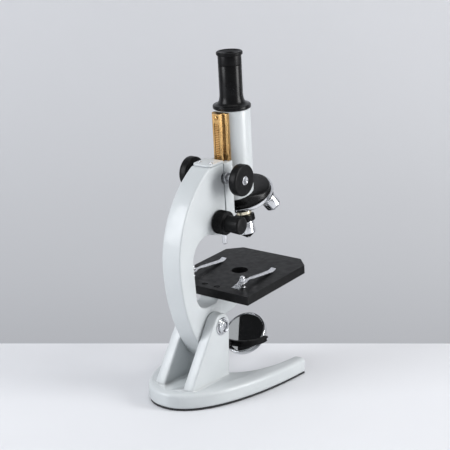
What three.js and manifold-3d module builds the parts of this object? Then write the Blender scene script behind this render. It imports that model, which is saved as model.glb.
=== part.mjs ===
// Student monocular microscope: horseshoe base, tilting C-shaped arm, square stage,
// two-sided mirror, rack-and-pinion body tube and an inclined three-objective turret.
// Millimetres, +Z up, +Y towards the back of the arm, origin on the ground under the tilt hinge.
import * as THREE from 'three';
import { mergeVertices } from 'three/addons/utils/BufferGeometryUtils.js';
import Module from 'manifold-3d';

const wasm = await Module();
wasm.setup();

// ---------------------------------------------------------------- driving dimensions (mm)
const GAP = 0.3;                 // clearance between pieces that rest on each other
const RUN = 0.35;                // running clearance of a sliding or turning piece

const BASE_HEIGHT = 18.4;        // top of the horseshoe above the ground
const BASE_HALF_WIDTH = 64;
const BASE_BACK = 69;            // behind the hinge
const BASE_FRONT = 101;          // in front of the hinge
const SLOT_HALF_WIDTH = 49.5;    // open end of the horseshoe
const PAD_THICKNESS = 1.4;
const PAD_INSET = 1.6;

const HINGE_HEIGHT = 75;
const EAR_RADIUS = 13.4;
const EAR_THICKNESS = 12.5;
const EAR_BACK = 50.5;           // foot of the ears behind the hinge
const BOLT_RADIUS = 5;
const WASHER_RADIUS = 9.4;

const LEAN = 4.7;                // degrees that the arm leans back at rest
const AXIS_REACH = 68;           // hinge to optical axis
const ARM_WIDTH = 23.2;
const ARM_ROUNDING = 2.4;
const ARM_TOP = 166;             // above the hinge
const NOSE_BOTTOM = 87.5;
const NOSE_FRONT = 34.3;         // behind the optical axis
const COVER_THICKNESS = 2.2;

const STAGE_TOP = 35;            // above the hinge
const STAGE_THICKNESS = 9.4;
const STAGE_LENGTH = 120.3;
const STAGE_OVERHANG = 59.5;     // stage edge behind the optical axis
const STAGE_WIDTH = 105.8;
const STAGE_CUT = 14.2;          // front corner cuts
const APERTURE_RADIUS = 9.1;
const DISC_RADIUS = 19;          // diaphragm disc
const DISC_THICKNESS = 1.6;
const DISC_OFFSET = 13;          // its pivot in front of the optical axis

const CLIP_POST_X = 33;
const CLIP_POST_Y = 40;
const CLIP_REACH = 57;           // post to tip
const CLIP_WIDTH = 6.8;
const CLIP_GAUGE = 0.9;
const CLIP_LIFT = 5.6;           // clip above the stage at its post

const KNOB_AXIS_Z = 150;         // coarse shaft above the hinge
const KNOB_RADIUS = 16.6;
const KNOB_THICKNESS = 9.6;
const KNOB_INNER = 26.9;         // inner face from the mid-plane
const SHAFT_RADIUS = 3.2;
const PITCH_RADIUS = 4.2;        // pinion
const PINION_TEETH = 14;
const RACK_HALF_WIDTH = 2.6;

const FINE_AXIS_Z = 107;
const FINE_AXIS_Y = 48.5;
const FINE_DISC_RADIUS = 12.5;
const FINE_DISC_THICKNESS = 12;
const FINE_GRIP_RADIUS = 8.5;
const FINE_GRIP_LENGTH = 18.5;
const FINE_GRIP_FLARE = 0.8;
const FINE_SHAFT_RADIUS = 2.6;
const CAM_RADIUS = 4.4;
const CAM_THROW = 1;

const TUBE_TOP = 215;            // above the hinge
const TUBE_RADIUS = 18.9;
const TUBE_WALL = 1.6;
const FLANGE_RADIUS = 19.9;
const FLANGE_THICKNESS = 4;
const DRAWTUBE_RADIUS = 12.2;
const DRAWTUBE_TOP = 260.4;
const EYEPIECE_TOP = 274.4;
const EYEPIECE_FIT = 11.4;       // outer radius of the barrel inside the drawtube
const CAP_RADIUS = 13.7;
const CAP_HEIGHT = 3.6;

const SLIDE_TOP = 214.4;          // brass dovetail slide on the back of the tube
const SLIDE_HALF_WIDTH = 5;
const SADDLE_HALF_WIDTH = 9.4;
const SADDLE_BACK = 22.4;
const SLIDE_BACK = 28;
const BLOCK_HALF_WIDTH = 12.2;
const BLOCK_WRAP = 2.5;          // how far the block reaches round the saddle's sides
const BLOCK_BOTTOM = 90;
const TONGUE_HALF_WIDTH = 5;

const TURRET_TILT = 23;          // degrees of the turret axis from the optical axis
const TURRET_FORWARD = 17.3;     // rim centre in front of the optical axis
const TURRET_HEIGHT = 116.1;     // rim centre above the hinge
const TURRET_TURN = 22;          // degrees off the click position at rest
const RIM_RADIUS = 30.4;
const RIM_TOP = -3.2;            // in the turret frame, which points down
const RIM_BOTTOM = 1.2;
const HOUSING_RADIUS = 28.2;     // black housing between tube and turret
const HOUSING_SKIRT = 3;
const HOUSING_TOP = 124;         // where it meets the tube, on the optical axis
const HOUSING_SLOPE = 14;        // degrees of that joint
const COLLAR_RADIUS = TUBE_RADIUS + 1.1;
const SLIDE_CLEARANCE = 0.36;    // under the brass slide, at the joint's slope
const SLIDE_BOTTOM = HOUSING_TOP + SLIDE_CLEARANCE
  - (TUBE_RADIUS - 1.4) * Math.tan(THREE.MathUtils.degToRad(HOUSING_SLOPE));
const TURRET_DEPTH = 4.6;
const BOLT_DEPTH = 9.4;

const MIRROR_FORWARD = 4;
const MIRROR_HEIGHT = -41;       // from the hinge
const MIRROR_RADIUS = 25;
const MIRROR_TILT = 40;          // degrees of the disc from level
const MIRROR_THICKNESS = 6.4;
const YOKE_WALL = 2.4;
const YOKE_HEIGHT = 6.4;

// ---------------------------------------------------------------- finishes
const PAINT = { color: 0xe4e8ea, roughness: 0.42, metalness: 0 };
const BLACK = { color: 0x1b1b1d, roughness: 0.45, metalness: 0 };
const GLOSS_BLACK = { color: 0x101012, roughness: 0.18, metalness: 0 };
const CHROME = { color: 0xc9ccd0, roughness: 0.12, metalness: 1 };
const BRASS = { color: 0xc8923c, roughness: 0.28, metalness: 1 };
const GLASS = { color: 0xbfd4dc, roughness: 0.03, metalness: 0 };
const MIRROR = { color: 0xdfe6ea, roughness: 0.03, metalness: 1 };
const FELT = { color: 0x26272a, roughness: 0.9, metalness: 0 };

// ---------------------------------------------------------------- solid helpers
const radians = THREE.MathUtils.degToRad;

function signedVolume(position, index) {
  const a = new THREE.Vector3();
  const b = new THREE.Vector3();
  const c = new THREE.Vector3();
  let volume = 0;
  for (let i = 0; i < index.length; i += 3) {
    a.fromArray(position, index[i] * 3);
    b.fromArray(position, index[i + 1] * 3);
    c.fromArray(position, index[i + 2] * 3);
    volume += a.dot(b.cross(c));
  }
  return volume;
}

function solid(geometry) {
  const bare = geometry.clone();
  bare.deleteAttribute('normal');
  bare.deleteAttribute('uv');
  const welded = mergeVertices(bare, 1e-4);
  const vertProperties = new Float32Array(welded.attributes.position.array);
  const triVerts = new Uint32Array(welded.index.array);
  if (signedVolume(vertProperties, triVerts) < 0) {
    for (let i = 0; i < triVerts.length; i += 3) {
      const first = triVerts[i];
      triVerts[i] = triVerts[i + 1];
      triVerts[i + 1] = first;
    }
  }
  return new wasm.Manifold(new wasm.Mesh({ numProp: 3, vertProperties, triVerts }));
}

function geometryOf(body) {
  const mesh = body.getMesh();
  const geometry = new THREE.BufferGeometry();
  geometry.setAttribute('position', new THREE.BufferAttribute(mesh.vertProperties, 3));
  geometry.setIndex(new THREE.BufferAttribute(mesh.triVerts, 1));
  geometry.computeVertexNormals();
  return geometry;
}

function piece(name, body, finish, parent) {
  const mesh = new THREE.Mesh(geometryOf(body), new THREE.MeshStandardMaterial(finish));
  mesh.name = name;
  parent.add(mesh);
  return mesh;
}

function moved(body, x, y, z) {
  return body.translate([x, y, z]);
}

// A box from its lowest to its highest corner.
function box(low, high) {
  const size = high.map((value, i) => value - low[i]);
  const geometry = new THREE.BoxGeometry(...size);
  geometry.translate(...low.map((value, i) => value + size[i] / 2));
  return solid(geometry);
}

// A round bar between two positions on one axis: 'x', 'y' or 'z'.
function bar(axis, radius, from, to, sides = 16) {
  const geometry = new THREE.CylinderGeometry(radius, radius, to - from, sides);
  geometry.translate(0, (from + to) / 2, 0);
  if (axis === 'x') geometry.rotateZ(-Math.PI / 2);
  if (axis === 'z') geometry.rotateX(Math.PI / 2);
  return solid(geometry);
}

// A turned piece: [radius, height] pairs from axis to axis, revolved about Z.
function turned(profile, sides = 20) {
  const points = profile.map(([r, z]) => new THREE.Vector2(r, z));
  const geometry = new THREE.LatheGeometry(points, sides);
  geometry.rotateX(Math.PI / 2);
  return solid(geometry);
}

// A turned piece whose axis lies along X, its profile heights running outwards.
function turnedX(profile, side, sides = 20) {
  return turned(profile, sides).rotate([0, side * 90, 0]);
}

// The outline as straight steps, without the doubled points where curves meet.
function stepped(shape, divisions) {
  const points = shape.extractPoints(divisions).shape;
  const apart = points.filter((point, i) => {
    const next = points[(i + 1) % points.length];
    return point.distanceTo(next) > 1e-3;
  });
  return new THREE.Shape(apart);
}

// An outline in the Y-Z plane, given a width along X, with rounded edges.
function sidePlate(shape, width, rounding = 0, divisions = 10) {
  const geometry = new THREE.ExtrudeGeometry(stepped(shape, divisions), {
    depth: width - 2 * rounding,
    bevelEnabled: rounding > 0,
    bevelThickness: rounding,
    bevelSize: rounding,
    bevelOffset: -rounding,
    bevelSegments: 1,
  });
  geometry.translate(0, 0, -(width - 2 * rounding) / 2);
  const turn = new THREE.Matrix4().set(0, 0, 1, 0, 1, 0, 0, 0, 0, 1, 0, 0, 0, 0, 0, 1);
  geometry.applyMatrix4(turn);
  return solid(geometry);
}

// An outline in the X-Y plane between two heights.
function levelPlate(shape, bottom, top, rounding = 0, divisions = 24) {
  const geometry = new THREE.ExtrudeGeometry(stepped(shape, divisions), {
    depth: top - bottom - 2 * rounding,
    bevelEnabled: rounding > 0,
    bevelThickness: rounding,
    bevelSize: rounding,
    bevelOffset: -rounding,
    bevelSegments: 1,
  });
  geometry.translate(0, 0, bottom + rounding);
  return solid(geometry);
}

// A skin over rings of equal point counts, closed flat at both ends.
function lofted(rings) {
  const count = rings[0].length;
  const middle = (ring) => {
    const sum = ring.reduce((total, point) => total.add(point), new THREE.Vector3());
    return sum.divideScalar(count);
  };
  const last = rings.length * count;
  const index = [];
  for (let i = 0; i < count; i += 1) {
    const next = (i + 1) % count;
    for (let r = 0; r + count < last; r += count) {
      index.push(r + i, r + next, r + count + next);
      index.push(r + i, r + count + next, r + count + i);
    }
    index.push(last, next, i);
    index.push(last + 1, last - count + i, last - count + next);
  }
  const points = [...rings.flat(), middle(rings[0]), middle(rings[rings.length - 1])];
  const geometry = new THREE.BufferGeometry().setFromPoints(points);
  geometry.setIndex(index);
  return solid(geometry);
}

function shapeOf(points) {
  return new THREE.Shape(points.map(([u, v]) => new THREE.Vector2(u, v)));
}

// ---------------------------------------------------------------- groups
const microscope = new THREE.Group();
const base = new THREE.Group();
const arm = new THREE.Group();
arm.position.set(0, 0, HINGE_HEIGHT);
arm.rotation.x = -radians(LEAN);
const bench = new THREE.Group();       // origin where the optical axis meets hinge height
bench.position.set(0, -AXIS_REACH, 0);
arm.add(bench);
microscope.add(base, arm);

const sides = [['near', -1], ['far', 1]];
const earInner = ARM_WIDTH / 2 + GAP;
const earOuter = earInner + EAR_THICKNESS;

// ---------------------------------------------------------------- base
// Half of a superellipse about the open front line of the horseshoe.
function horseshoeArc(halfWidth, apex, power, steps) {
  const length = apex + BASE_FRONT;
  const points = [];
  for (let i = 0; i <= steps; i += 1) {
    const t = Math.PI * (i / steps);
    const x = halfWidth * Math.sign(Math.cos(t)) * Math.abs(Math.cos(t)) ** (2 / power);
    const y = length * Math.sin(t) ** (2 / power) - BASE_FRONT;
    points.push([x, y]);
  }
  return points;
}

function horseshoe(inset) {
  const slotApex = -EAR_RADIUS + 1.4 + inset;
  const outer = horseshoeArc(BASE_HALF_WIDTH - inset, BASE_BACK - inset, 2.25, 30);
  const inner = horseshoeArc(SLOT_HALF_WIDTH + inset, slotApex, 2.2, 20).reverse();
  return shapeOf([...outer, ...inner]);
}

function earShape() {
  const shape = new THREE.Shape();
  const reach = Math.hypot(EAR_BACK, HINGE_HEIGHT - BASE_HEIGHT);
  const swing = Math.atan2(BASE_HEIGHT - HINGE_HEIGHT, EAR_BACK) + Math.acos(EAR_RADIUS / reach);
  shape.moveTo(-EAR_RADIUS, BASE_HEIGHT - 4);
  shape.lineTo(-EAR_RADIUS, HINGE_HEIGHT);
  shape.absarc(0, HINGE_HEIGHT, EAR_RADIUS, Math.PI, swing, true);
  shape.lineTo(EAR_BACK, BASE_HEIGHT);
  shape.lineTo(EAR_BACK, BASE_HEIGHT - 4);
  shape.closePath();
  return shape;
}

function buildBase() {
  let casting = levelPlate(horseshoe(0), PAD_THICKNESS, BASE_HEIGHT, 1.6);
  const ear = sidePlate(earShape(), EAR_THICKNESS, 1.4, 9);
  for (const [, side] of sides) {
    casting = casting.add(moved(ear, side * (earInner + EAR_THICKNESS / 2), 0, 0));
  }
  const reach = earOuter + 1;
  const bore = bar('x', BOLT_RADIUS + RUN, -reach, reach, 20);
  casting = casting.subtract(moved(bore, 0, 0, HINGE_HEIGHT));
  piece('base_casting', casting, PAINT, base);
  piece('base_pad', levelPlate(horseshoe(PAD_INSET), 0, PAD_THICKNESS, 0, 12), FELT, base);
}

function buildHinge() {
  const boltEnd = earOuter + 3;
  const bolt = bar('x', BOLT_RADIUS, -boltEnd, boltEnd, 20);
  piece('hinge_bolt', moved(bolt, 0, 0, HINGE_HEIGHT), CHROME, base);
  const bore = BOLT_RADIUS + RUN;
  const washer = [[bore, 0], [WASHER_RADIUS, 0], [WASHER_RADIUS, 1], [WASHER_RADIUS - 0.5, 1.5],
    [bore, 1.5], [bore, 0]];
  const nutRadius = WASHER_RADIUS - 2.4;
  const nut = [[bore, 0], [nutRadius, 0], [nutRadius, 2.2], [nutRadius - 0.7, 2.9], [bore, 2.9],
    [bore, 0]];
  for (const [label, side] of sides) {
    const ring = moved(turnedX(washer, side), side * (earOuter + 0.05), 0, HINGE_HEIGHT);
    piece(`hinge_washer_${label}`, ring, CHROME, base);
    const slot = box([-9, -1, 1.6], [9, 1, 4]).rotate([0, side * 90, 0]);
    const cap = turnedX(nut, side).subtract(slot);
    piece(`hinge_nut_${label}`, moved(cap, side * (earOuter + 1.7), 0, HINGE_HEIGHT), CHROME, base);
  }
}

// ---------------------------------------------------------------- arm
const stageBottom = STAGE_TOP - STAGE_THICKNESS;
const bracketTop = stageBottom - GAP;
const pinionY = SLIDE_BACK + GAP + PITCH_RADIUS;
const hubFront = AXIS_REACH - 18.5;

// Outline of the C seen from the side: y runs back from the optical axis.
function armShape() {
  const shape = new THREE.Shape();
  const waist = 73;                                   // height where the back is furthest out
  const upper = { y: 9.5, radius: 105 };
  const lower = { y: -67, radius: 181.5 };
  const topY = upper.y + Math.sqrt(upper.radius ** 2 - (ARM_TOP - waist) ** 2);
  const topAngle = Math.asin((ARM_TOP - waist) / upper.radius);
  const tailAngle = -Math.asin((waist + 34) / lower.radius);
  shape.moveTo(NOSE_FRONT, NOSE_BOTTOM);
  shape.lineTo(NOSE_FRONT, ARM_TOP);
  shape.lineTo(topY, ARM_TOP);
  shape.absarc(upper.y, waist, upper.radius, topAngle, 0, true);
  shape.absarc(lower.y, waist, lower.radius, 0, tailAngle, true);
  shape.quadraticCurveTo(AXIS_REACH + 5, -43, AXIS_REACH - 6, -42);
  shape.quadraticCurveTo(hubFront + 1, -41, hubFront, -28);
  shape.lineTo(hubFront, bracketTop);
  shape.lineTo(hubFront + 5, bracketTop);
  shape.quadraticCurveTo(hubFront + 7, bracketTop - 5, AXIS_REACH - 5, bracketTop - 5.3);
  shape.lineTo(AXIS_REACH + 4, bracketTop - 5.3);
  shape.absarc(AXIS_REACH + 4, bracketTop + 12.7, 18, -Math.PI / 2, -0.14, false);
  shape.absarc(AXIS_REACH, waist, 24, 0, Math.PI * 0.54, false);
  shape.closePath();
  return shape;
}

// Thinner web that carries the stage in front of the hub.
function gussetShape() {
  const shape = new THREE.Shape();
  const front = APERTURE_RADIUS + 4.4;
  shape.moveTo(hubFront + 4, -3);
  shape.lineTo(front + 8, 1);
  shape.quadraticCurveTo(front, 3, front, bracketTop);
  shape.lineTo(hubFront + 4, bracketTop);
  shape.closePath();
  return shape;
}

const stageScrewY = AXIS_REACH - 16;
const stageScrewX = 8;
const coverScrewY = AXIS_REACH - 18;
const coverScrewX = 7;
const screwHole = 1.5;
const forkStemRadius = 3.3;
const forkSocketDrop = 8;           // socket above the mirror's axis

function buildArm() {
  let casting = sidePlate(armShape(), ARM_WIDTH, ARM_ROUNDING, 8);
  casting = casting.add(sidePlate(gussetShape(), 15, 1.2, 8));
  const tongue = TONGUE_HALF_WIDTH + RUN;
  const slotBack = NOSE_FRONT + 12;
  const cuts = [
    box([-tongue, NOSE_FRONT - 1, NOSE_BOTTOM - 6], [tongue, slotBack, ARM_TOP + 1]),
    box([-tongue, slotBack - 1, FINE_AXIS_Z - 9], [tongue, FINE_AXIS_Y + 8, FINE_AXIS_Z + 13]),
    moved(bar('x', FINE_SHAFT_RADIUS + RUN, -ARM_WIDTH, ARM_WIDTH), 0, FINE_AXIS_Y, FINE_AXIS_Z),
    moved(bar('x', 7.2, -ARM_WIDTH, ARM_WIDTH, 16), 0, pinionY, KNOB_AXIS_Z),
    moved(bar('x', BOLT_RADIUS + RUN, -ARM_WIDTH, ARM_WIDTH, 20), 0, AXIS_REACH, 0),
    moved(bar('y', forkStemRadius + RUN, AXIS_REACH - 20, AXIS_REACH - 6), 0, 0,
      MIRROR_HEIGHT + forkSocketDrop),
  ];
  for (const side of [-1, 1]) {
    cuts.push(moved(bar('z', screwHole, bracketTop - 9, bracketTop + 1, 12), side * stageScrewX,
      stageScrewY, 0));
    cuts.push(moved(bar('z', screwHole, ARM_TOP - 7, ARM_TOP + 1, 12), side * coverScrewX,
      coverScrewY, 0));
  }
  for (const cut of cuts) casting = casting.subtract(cut);
  piece('arm_casting', casting, PAINT, bench);
}

function buildCover() {
  const half = ARM_WIDTH / 2 - 0.2;
  const back = AXIS_REACH - 10.6;
  const shape = new THREE.Shape();
  shape.moveTo(-half, NOSE_FRONT);
  shape.lineTo(half, NOSE_FRONT);
  shape.lineTo(half, back - 5);
  shape.quadraticCurveTo(half, back, half - 5, back);
  shape.lineTo(5 - half, back);
  shape.quadraticCurveTo(-half, back, -half, back - 5);
  shape.closePath();
  const bottom = ARM_TOP + GAP;
  let cover = levelPlate(shape, bottom, bottom + COVER_THICKNESS, 0.5, 8);
  for (const [label, side] of sides) {
    const hole = bar('z', screwHole, bottom - 1, bottom + 5, 12);
    cover = cover.subtract(moved(hole, side * coverScrewX, coverScrewY, 0));
    const top = bottom + COVER_THICKNESS;
    const screw = turned([[0, ARM_TOP - 6], [1.2, ARM_TOP - 6], [1.2, top + 0.1], [2.2, top + 0.1],
      [1.8, top + 1], [0, top + 1.2]], 16);
    const cut = box([-3, -0.35, top + 0.7], [3, 0.35, top + 2]);
    piece(`cover_screw_${label}`, moved(screw.subtract(cut), side * coverScrewX,
      coverScrewY, 0), CHROME, bench);
  }
  piece('arm_cover', cover, PAINT, bench);
}

// ---------------------------------------------------------------- stage
const stageFront = STAGE_OVERHANG - STAGE_LENGTH;
const clipRodRadius = 2;

function stageShape() {
  const half = STAGE_WIDTH / 2;
  return shapeOf([[-half, STAGE_OVERHANG], [-half, stageFront + STAGE_CUT],
    [STAGE_CUT - half, stageFront], [half - STAGE_CUT, stageFront],
    [half, stageFront + STAGE_CUT], [half, STAGE_OVERHANG]]);
}

function buildStage() {
  let plate = levelPlate(stageShape(), stageBottom, STAGE_TOP, 0.8, 4);
  plate = plate.subtract(bar('z', APERTURE_RADIUS, stageBottom - 1, STAGE_TOP + 1, 24));
  const pivot = bar('z', 1.5, stageBottom - 1, stageBottom + 6, 12);
  plate = plate.subtract(moved(pivot, 0, -DISC_OFFSET, 0));
  for (const [, side] of sides) {
    const bore = bar('z', clipRodRadius + RUN, stageBottom - 1, STAGE_TOP + 1, 16);
    plate = plate.subtract(moved(bore, side * CLIP_POST_X, CLIP_POST_Y, 0));
    const sink = turned([[0, stageBottom - 1], [1.5, stageBottom - 1], [1.5, STAGE_TOP - 2.2],
      [3.6, STAGE_TOP - 0.4], [3.6, STAGE_TOP + 1], [0, STAGE_TOP + 1]], 20);
    plate = plate.subtract(moved(sink, side * stageScrewX, stageScrewY, 0));
  }
  piece('stage_plate', plate, BLACK, bench);
  sides.forEach(([label, side]) => {
    const screw = turned([[0, bracketTop - 7], [1.2, bracketTop - 7], [1.2, STAGE_TOP - 2.1],
      [3.2, STAGE_TOP - 0.5], [0, STAGE_TOP - 0.5]], 20);
    const cut = box([-4, -0.4, STAGE_TOP - 1.2], [4, 0.4, STAGE_TOP + 1]);
    piece(`stage_screw_${label}`, moved(screw.subtract(cut), side * stageScrewX,
      stageScrewY, 0), BLACK, bench);
  });
}

function clipOutline(side) {
  const half = CLIP_WIDTH / 2;
  const tip = -CLIP_REACH;
  const shape = new THREE.Shape();
  shape.moveTo(-2.2, 4);
  shape.lineTo(-1.6, -13);
  shape.quadraticCurveTo(-half, -15, -half, -19);
  shape.lineTo(-half, tip + 2);
  shape.quadraticCurveTo(-half, tip, -half + 2, tip);
  shape.lineTo(half - 2, tip);
  shape.quadraticCurveTo(half, tip, half, tip + 2);
  shape.lineTo(half, -19);
  shape.quadraticCurveTo(half, -15, 2.2, -13);
  shape.lineTo(2.6, 4);
  shape.lineTo(5, 13);
  shape.lineTo(-5, 13);
  shape.closePath();
  let outline = levelPlate(shape, STAGE_TOP - 2, STAGE_TOP + 14, 0, 6);
  outline = outline.add(bar('z', 4.4, STAGE_TOP - 2, STAGE_TOP + 14, 14));
  return side < 0 ? outline : outline.mirror([1, 0, 0]);
}

// The strip seen from the side: flat at the post, sprung down to the slide, tip turned up.
function clipProfile() {
  const high = STAGE_TOP + CLIP_LIFT;
  const low = STAGE_TOP + 0.5;
  const middle = [[13, high - 3], [5, high], [-10, high], [-22, high - 1.4],
    [-CLIP_REACH + 7, low], [-CLIP_REACH + 4, low + 0.2], [-CLIP_REACH - 1, low + 2.4]];
  const upper = middle.map(([y, z]) => [y, z + CLIP_GAUGE]).reverse();
  return shapeOf([...middle, ...upper]);
}

function buildClips() {
  for (const [label, side] of sides) {
    const strip = sidePlate(clipProfile(), 30).intersect(clipOutline(side));
    const bore = bar('z', clipRodRadius + RUN, STAGE_TOP - 4, STAGE_TOP + 16, 12);
    const place = [side * CLIP_POST_X, CLIP_POST_Y, 0];
    piece(`clip_${label}`, moved(strip.subtract(bore), ...place), CHROME, bench);
    const seat = STAGE_TOP + CLIP_LIFT;
    const post = turned([[0, stageBottom + 0.4], [clipRodRadius, stageBottom + 0.4],
      [clipRodRadius, STAGE_TOP + 0.15], [3.1, STAGE_TOP + 0.15], [3.1, seat - GAP],
      [clipRodRadius, seat - GAP], [clipRodRadius, seat + CLIP_GAUGE + GAP],
      [3.2, seat + CLIP_GAUGE + GAP], [3.2, seat + 4.4], [2.5, seat + 5.2], [2.5, seat + 6.2],
      [1.8, seat + 7], [0, seat + 7.2]], 12);
    piece(`clip_post_${label}`, moved(post, ...place), CHROME, bench);
  }
}

function buildDiaphragm() {
  const top = stageBottom - GAP;
  let disc = bar('z', DISC_RADIUS, top - DISC_THICKNESS, top, 24);
  const holes = [7.6, 5.6, 4, 2.6, 1.4];
  holes.forEach((radius, i) => {
    const angle = Math.PI / 2 + (i * 2 * Math.PI) / holes.length;
    const hole = bar('z', Math.min(radius, DISC_RADIUS - DISC_OFFSET - 1), top - 5, top + 1, 14);
    disc = disc.subtract(moved(hole, DISC_OFFSET * Math.cos(angle), DISC_OFFSET * Math.sin(angle), 0));
  });
  disc = disc.subtract(bar('z', 2 + RUN, top - 5, top + 1, 12));
  piece('diaphragm_disc', moved(disc, 0, -DISC_OFFSET, 0), BLACK, bench);
  const head = top - DISC_THICKNESS - GAP;
  const screw = turned([[0, head - 1.6], [3.4, head - 1.2], [3.6, head], [2, head],
    [2, stageBottom - 0.05], [1.3, stageBottom - 0.05], [1.3, stageBottom + 5.5],
    [0, stageBottom + 5.5]], 20);
  piece('diaphragm_screw', moved(screw, 0, -DISC_OFFSET, 0), CHROME, bench);
}

// ---------------------------------------------------------------- focus
const groove = SLIDE_HALF_WIDTH + RUN;
const blockFront = SADDLE_BACK - BLOCK_WRAP;
const fineTravel = CAM_THROW;
const pinY = blockFront + 4;

function buildFocusBlock() {
  const back = NOSE_FRONT - RUN;
  const tongueBack = NOSE_FRONT + 12 - RUN;
  const top = ARM_TOP + GAP - fineTravel - RUN;
  const wrap = SADDLE_HALF_WIDTH + RUN;
  const runOut = SLIDE_BOTTOM - 24;
  let block = box([-BLOCK_HALF_WIDTH, blockFront, BLOCK_BOTTOM], [BLOCK_HALF_WIDTH, back, top]);
  block = block.add(box([-TONGUE_HALF_WIDTH, back - 1, BLOCK_BOTTOM],
    [TONGUE_HALF_WIDTH, tongueBack, top]));
  block = block.add(box([-TONGUE_HALF_WIDTH, tongueBack - 1, FINE_AXIS_Z - 7.2],
    [TONGUE_HALF_WIDTH, FINE_AXIS_Y + 6.2, FINE_AXIS_Z + 7.2]));
  const cuts = [
    box([-wrap, blockFront - 1, runOut], [wrap, SADDLE_BACK + RUN, top + 1]),
    box([-groove, blockFront - 1, runOut], [groove, SLIDE_BACK + RUN, top + 1]),
    box([-3.4, SLIDE_BACK - 1, runOut], [3.4, SLIDE_BACK + 2, top + 1]),
    moved(bar('x', PITCH_RADIUS + 1.9, -6.4, 6.4, 16), 0, pinionY, KNOB_AXIS_Z),
    moved(bar('x', SHAFT_RADIUS + RUN, -20, 20, 14), 0, pinionY, KNOB_AXIS_Z),
    moved(bar('x', CAM_RADIUS + CAM_THROW + RUN, -20, 20, 16), 0, FINE_AXIS_Y, FINE_AXIS_Z),
    box([-20, FINE_AXIS_Y, FINE_AXIS_Z - CAM_RADIUS - RUN],
      [20, FINE_AXIS_Y + 20, FINE_AXIS_Z + CAM_RADIUS + RUN]),
    moved(bar('z', 1.9, BLOCK_BOTTOM - 1, BLOCK_BOTTOM + 5, 16), 0, pinY, 0),
  ];
  for (const cut of cuts) block = block.subtract(cut);
  piece('guide_block', block, PAINT, bench);
  const pin = turned([[0, BLOCK_BOTTOM - 17.2], [2, BLOCK_BOTTOM - 17.2], [2.7, BLOCK_BOTTOM - 16.4],
    [2.7, BLOCK_BOTTOM - GAP], [1.6, BLOCK_BOTTOM - GAP], [1.6, BLOCK_BOTTOM + 4.6],
    [0, BLOCK_BOTTOM + 4.6]], 14);
  piece('stop_pin', moved(pin, 0, pinY, 0), CHROME, bench);
}

function gearOutline(pitch, teeth) {
  const root = pitch - 0.75;
  const tip = pitch + 0.6;
  const points = [];
  for (let i = 0; i < teeth; i += 1) {
    const steps = [[0.2, root], [0.35, tip], [0.65, tip], [0.8, root]];
    for (const [share, radius] of steps) {
      const angle = ((i + share) / teeth) * 2 * Math.PI + Math.PI;
      points.push([radius * Math.cos(angle), radius * Math.sin(angle)]);
    }
  }
  return shapeOf(points);
}

function buildCoarseDrive() {
  const end = KNOB_INNER + KNOB_THICKNESS - 1.2;
  let shaft = bar('x', SHAFT_RADIUS, -end, end, 14);
  shaft = shaft.add(sidePlate(gearOutline(PITCH_RADIUS, PINION_TEETH), 2 * RACK_HALF_WIDTH - 0.6));
  piece('pinion_shaft', moved(shaft, 0, pinionY, KNOB_AXIS_Z), CHROME, bench);
  const bore = SHAFT_RADIUS + RUN;
  const bush = [[bore, 0], [6, 0], [6, 2.6], [5, 3.4], [bore, 3.4], [bore, 0]];
  const knob = [[bore, -6], [6.4, -6], [6.8, 0.4], [KNOB_RADIUS - 1.2, 0.4], [KNOB_RADIUS, 1.6],
    [KNOB_RADIUS, KNOB_THICKNESS - 1.4], [KNOB_RADIUS - 1.3, KNOB_THICKNESS],
    [5.2, KNOB_THICKNESS], [5.2, KNOB_THICKNESS - 2.6], [bore, KNOB_THICKNESS - 2.6],
    [bore, -6]];
  const screw = [[0, 0], [4.8, 0], [4.8, 1.3], [4.3, 1.8], [3.4, 1.8], [3, 1], [0, 1]];
  for (const [label, side] of sides) {
    const at = [pinionY, KNOB_AXIS_Z];
    piece(`pinion_bush_${label}`, moved(turnedX(bush, side), side * (BLOCK_HALF_WIDTH + 0.2), ...at),
      CHROME, bench);
    piece(`coarse_knob_${label}`, moved(turnedX(knob, side, 24), side * KNOB_INNER, ...at),
      BLACK, bench);
    piece(`knob_screw_${label}`, moved(turnedX(screw, side, 16), side * (end + GAP), ...at),
      CHROME, bench);
  }
}

function buildFineDrive() {
  const inner = ARM_WIDTH / 2 + 0.6;
  const discEnd = inner + FINE_DISC_THICKNESS;
  const shaftEnd = discEnd + FINE_GRIP_LENGTH - 5;
  let shaft = bar('x', FINE_SHAFT_RADIUS, -shaftEnd, shaftEnd, 14);
  shaft = shaft.add(moved(bar('x', CAM_RADIUS, -4.4, 4.4, 16), 0, CAM_THROW, 0));
  piece('fine_shaft', moved(shaft, 0, FINE_AXIS_Y, FINE_AXIS_Z), CHROME, bench);
  const bore = FINE_SHAFT_RADIUS + RUN;
  const disc = FINE_DISC_THICKNESS;
  const end = disc + FINE_GRIP_LENGTH;
  const knob = [[bore, 0], [FINE_DISC_RADIUS - 0.8, 0], [FINE_DISC_RADIUS, 0.8],
    [FINE_DISC_RADIUS, disc - 1], [FINE_DISC_RADIUS - 1, disc], [FINE_GRIP_RADIUS, disc],
    [FINE_GRIP_RADIUS + FINE_GRIP_FLARE, end - 1.8], [FINE_GRIP_RADIUS, end - 0.4],
    [FINE_GRIP_RADIUS - 1.4, end], [0, end], [0, end - 4],
    [bore, end - 4], [bore, 0]];
  for (const [label, side] of sides) {
    piece(`fine_knob_${label}`, moved(turnedX(knob, side), side * inner, FINE_AXIS_Y, FINE_AXIS_Z),
      BLACK, bench);
  }
}

// ---------------------------------------------------------------- tube
const turretAxis = new THREE.Group();   // origin at the rim centre, +Z down the turret axis
turretAxis.position.set(0, -TURRET_FORWARD, TURRET_HEIGHT);
turretAxis.rotation.x = Math.PI - radians(TURRET_TILT);
bench.add(turretAxis);
turretAxis.updateMatrix();
const seatRadius = TURRET_FORWARD / Math.cos(radians(TURRET_TILT));

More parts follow.
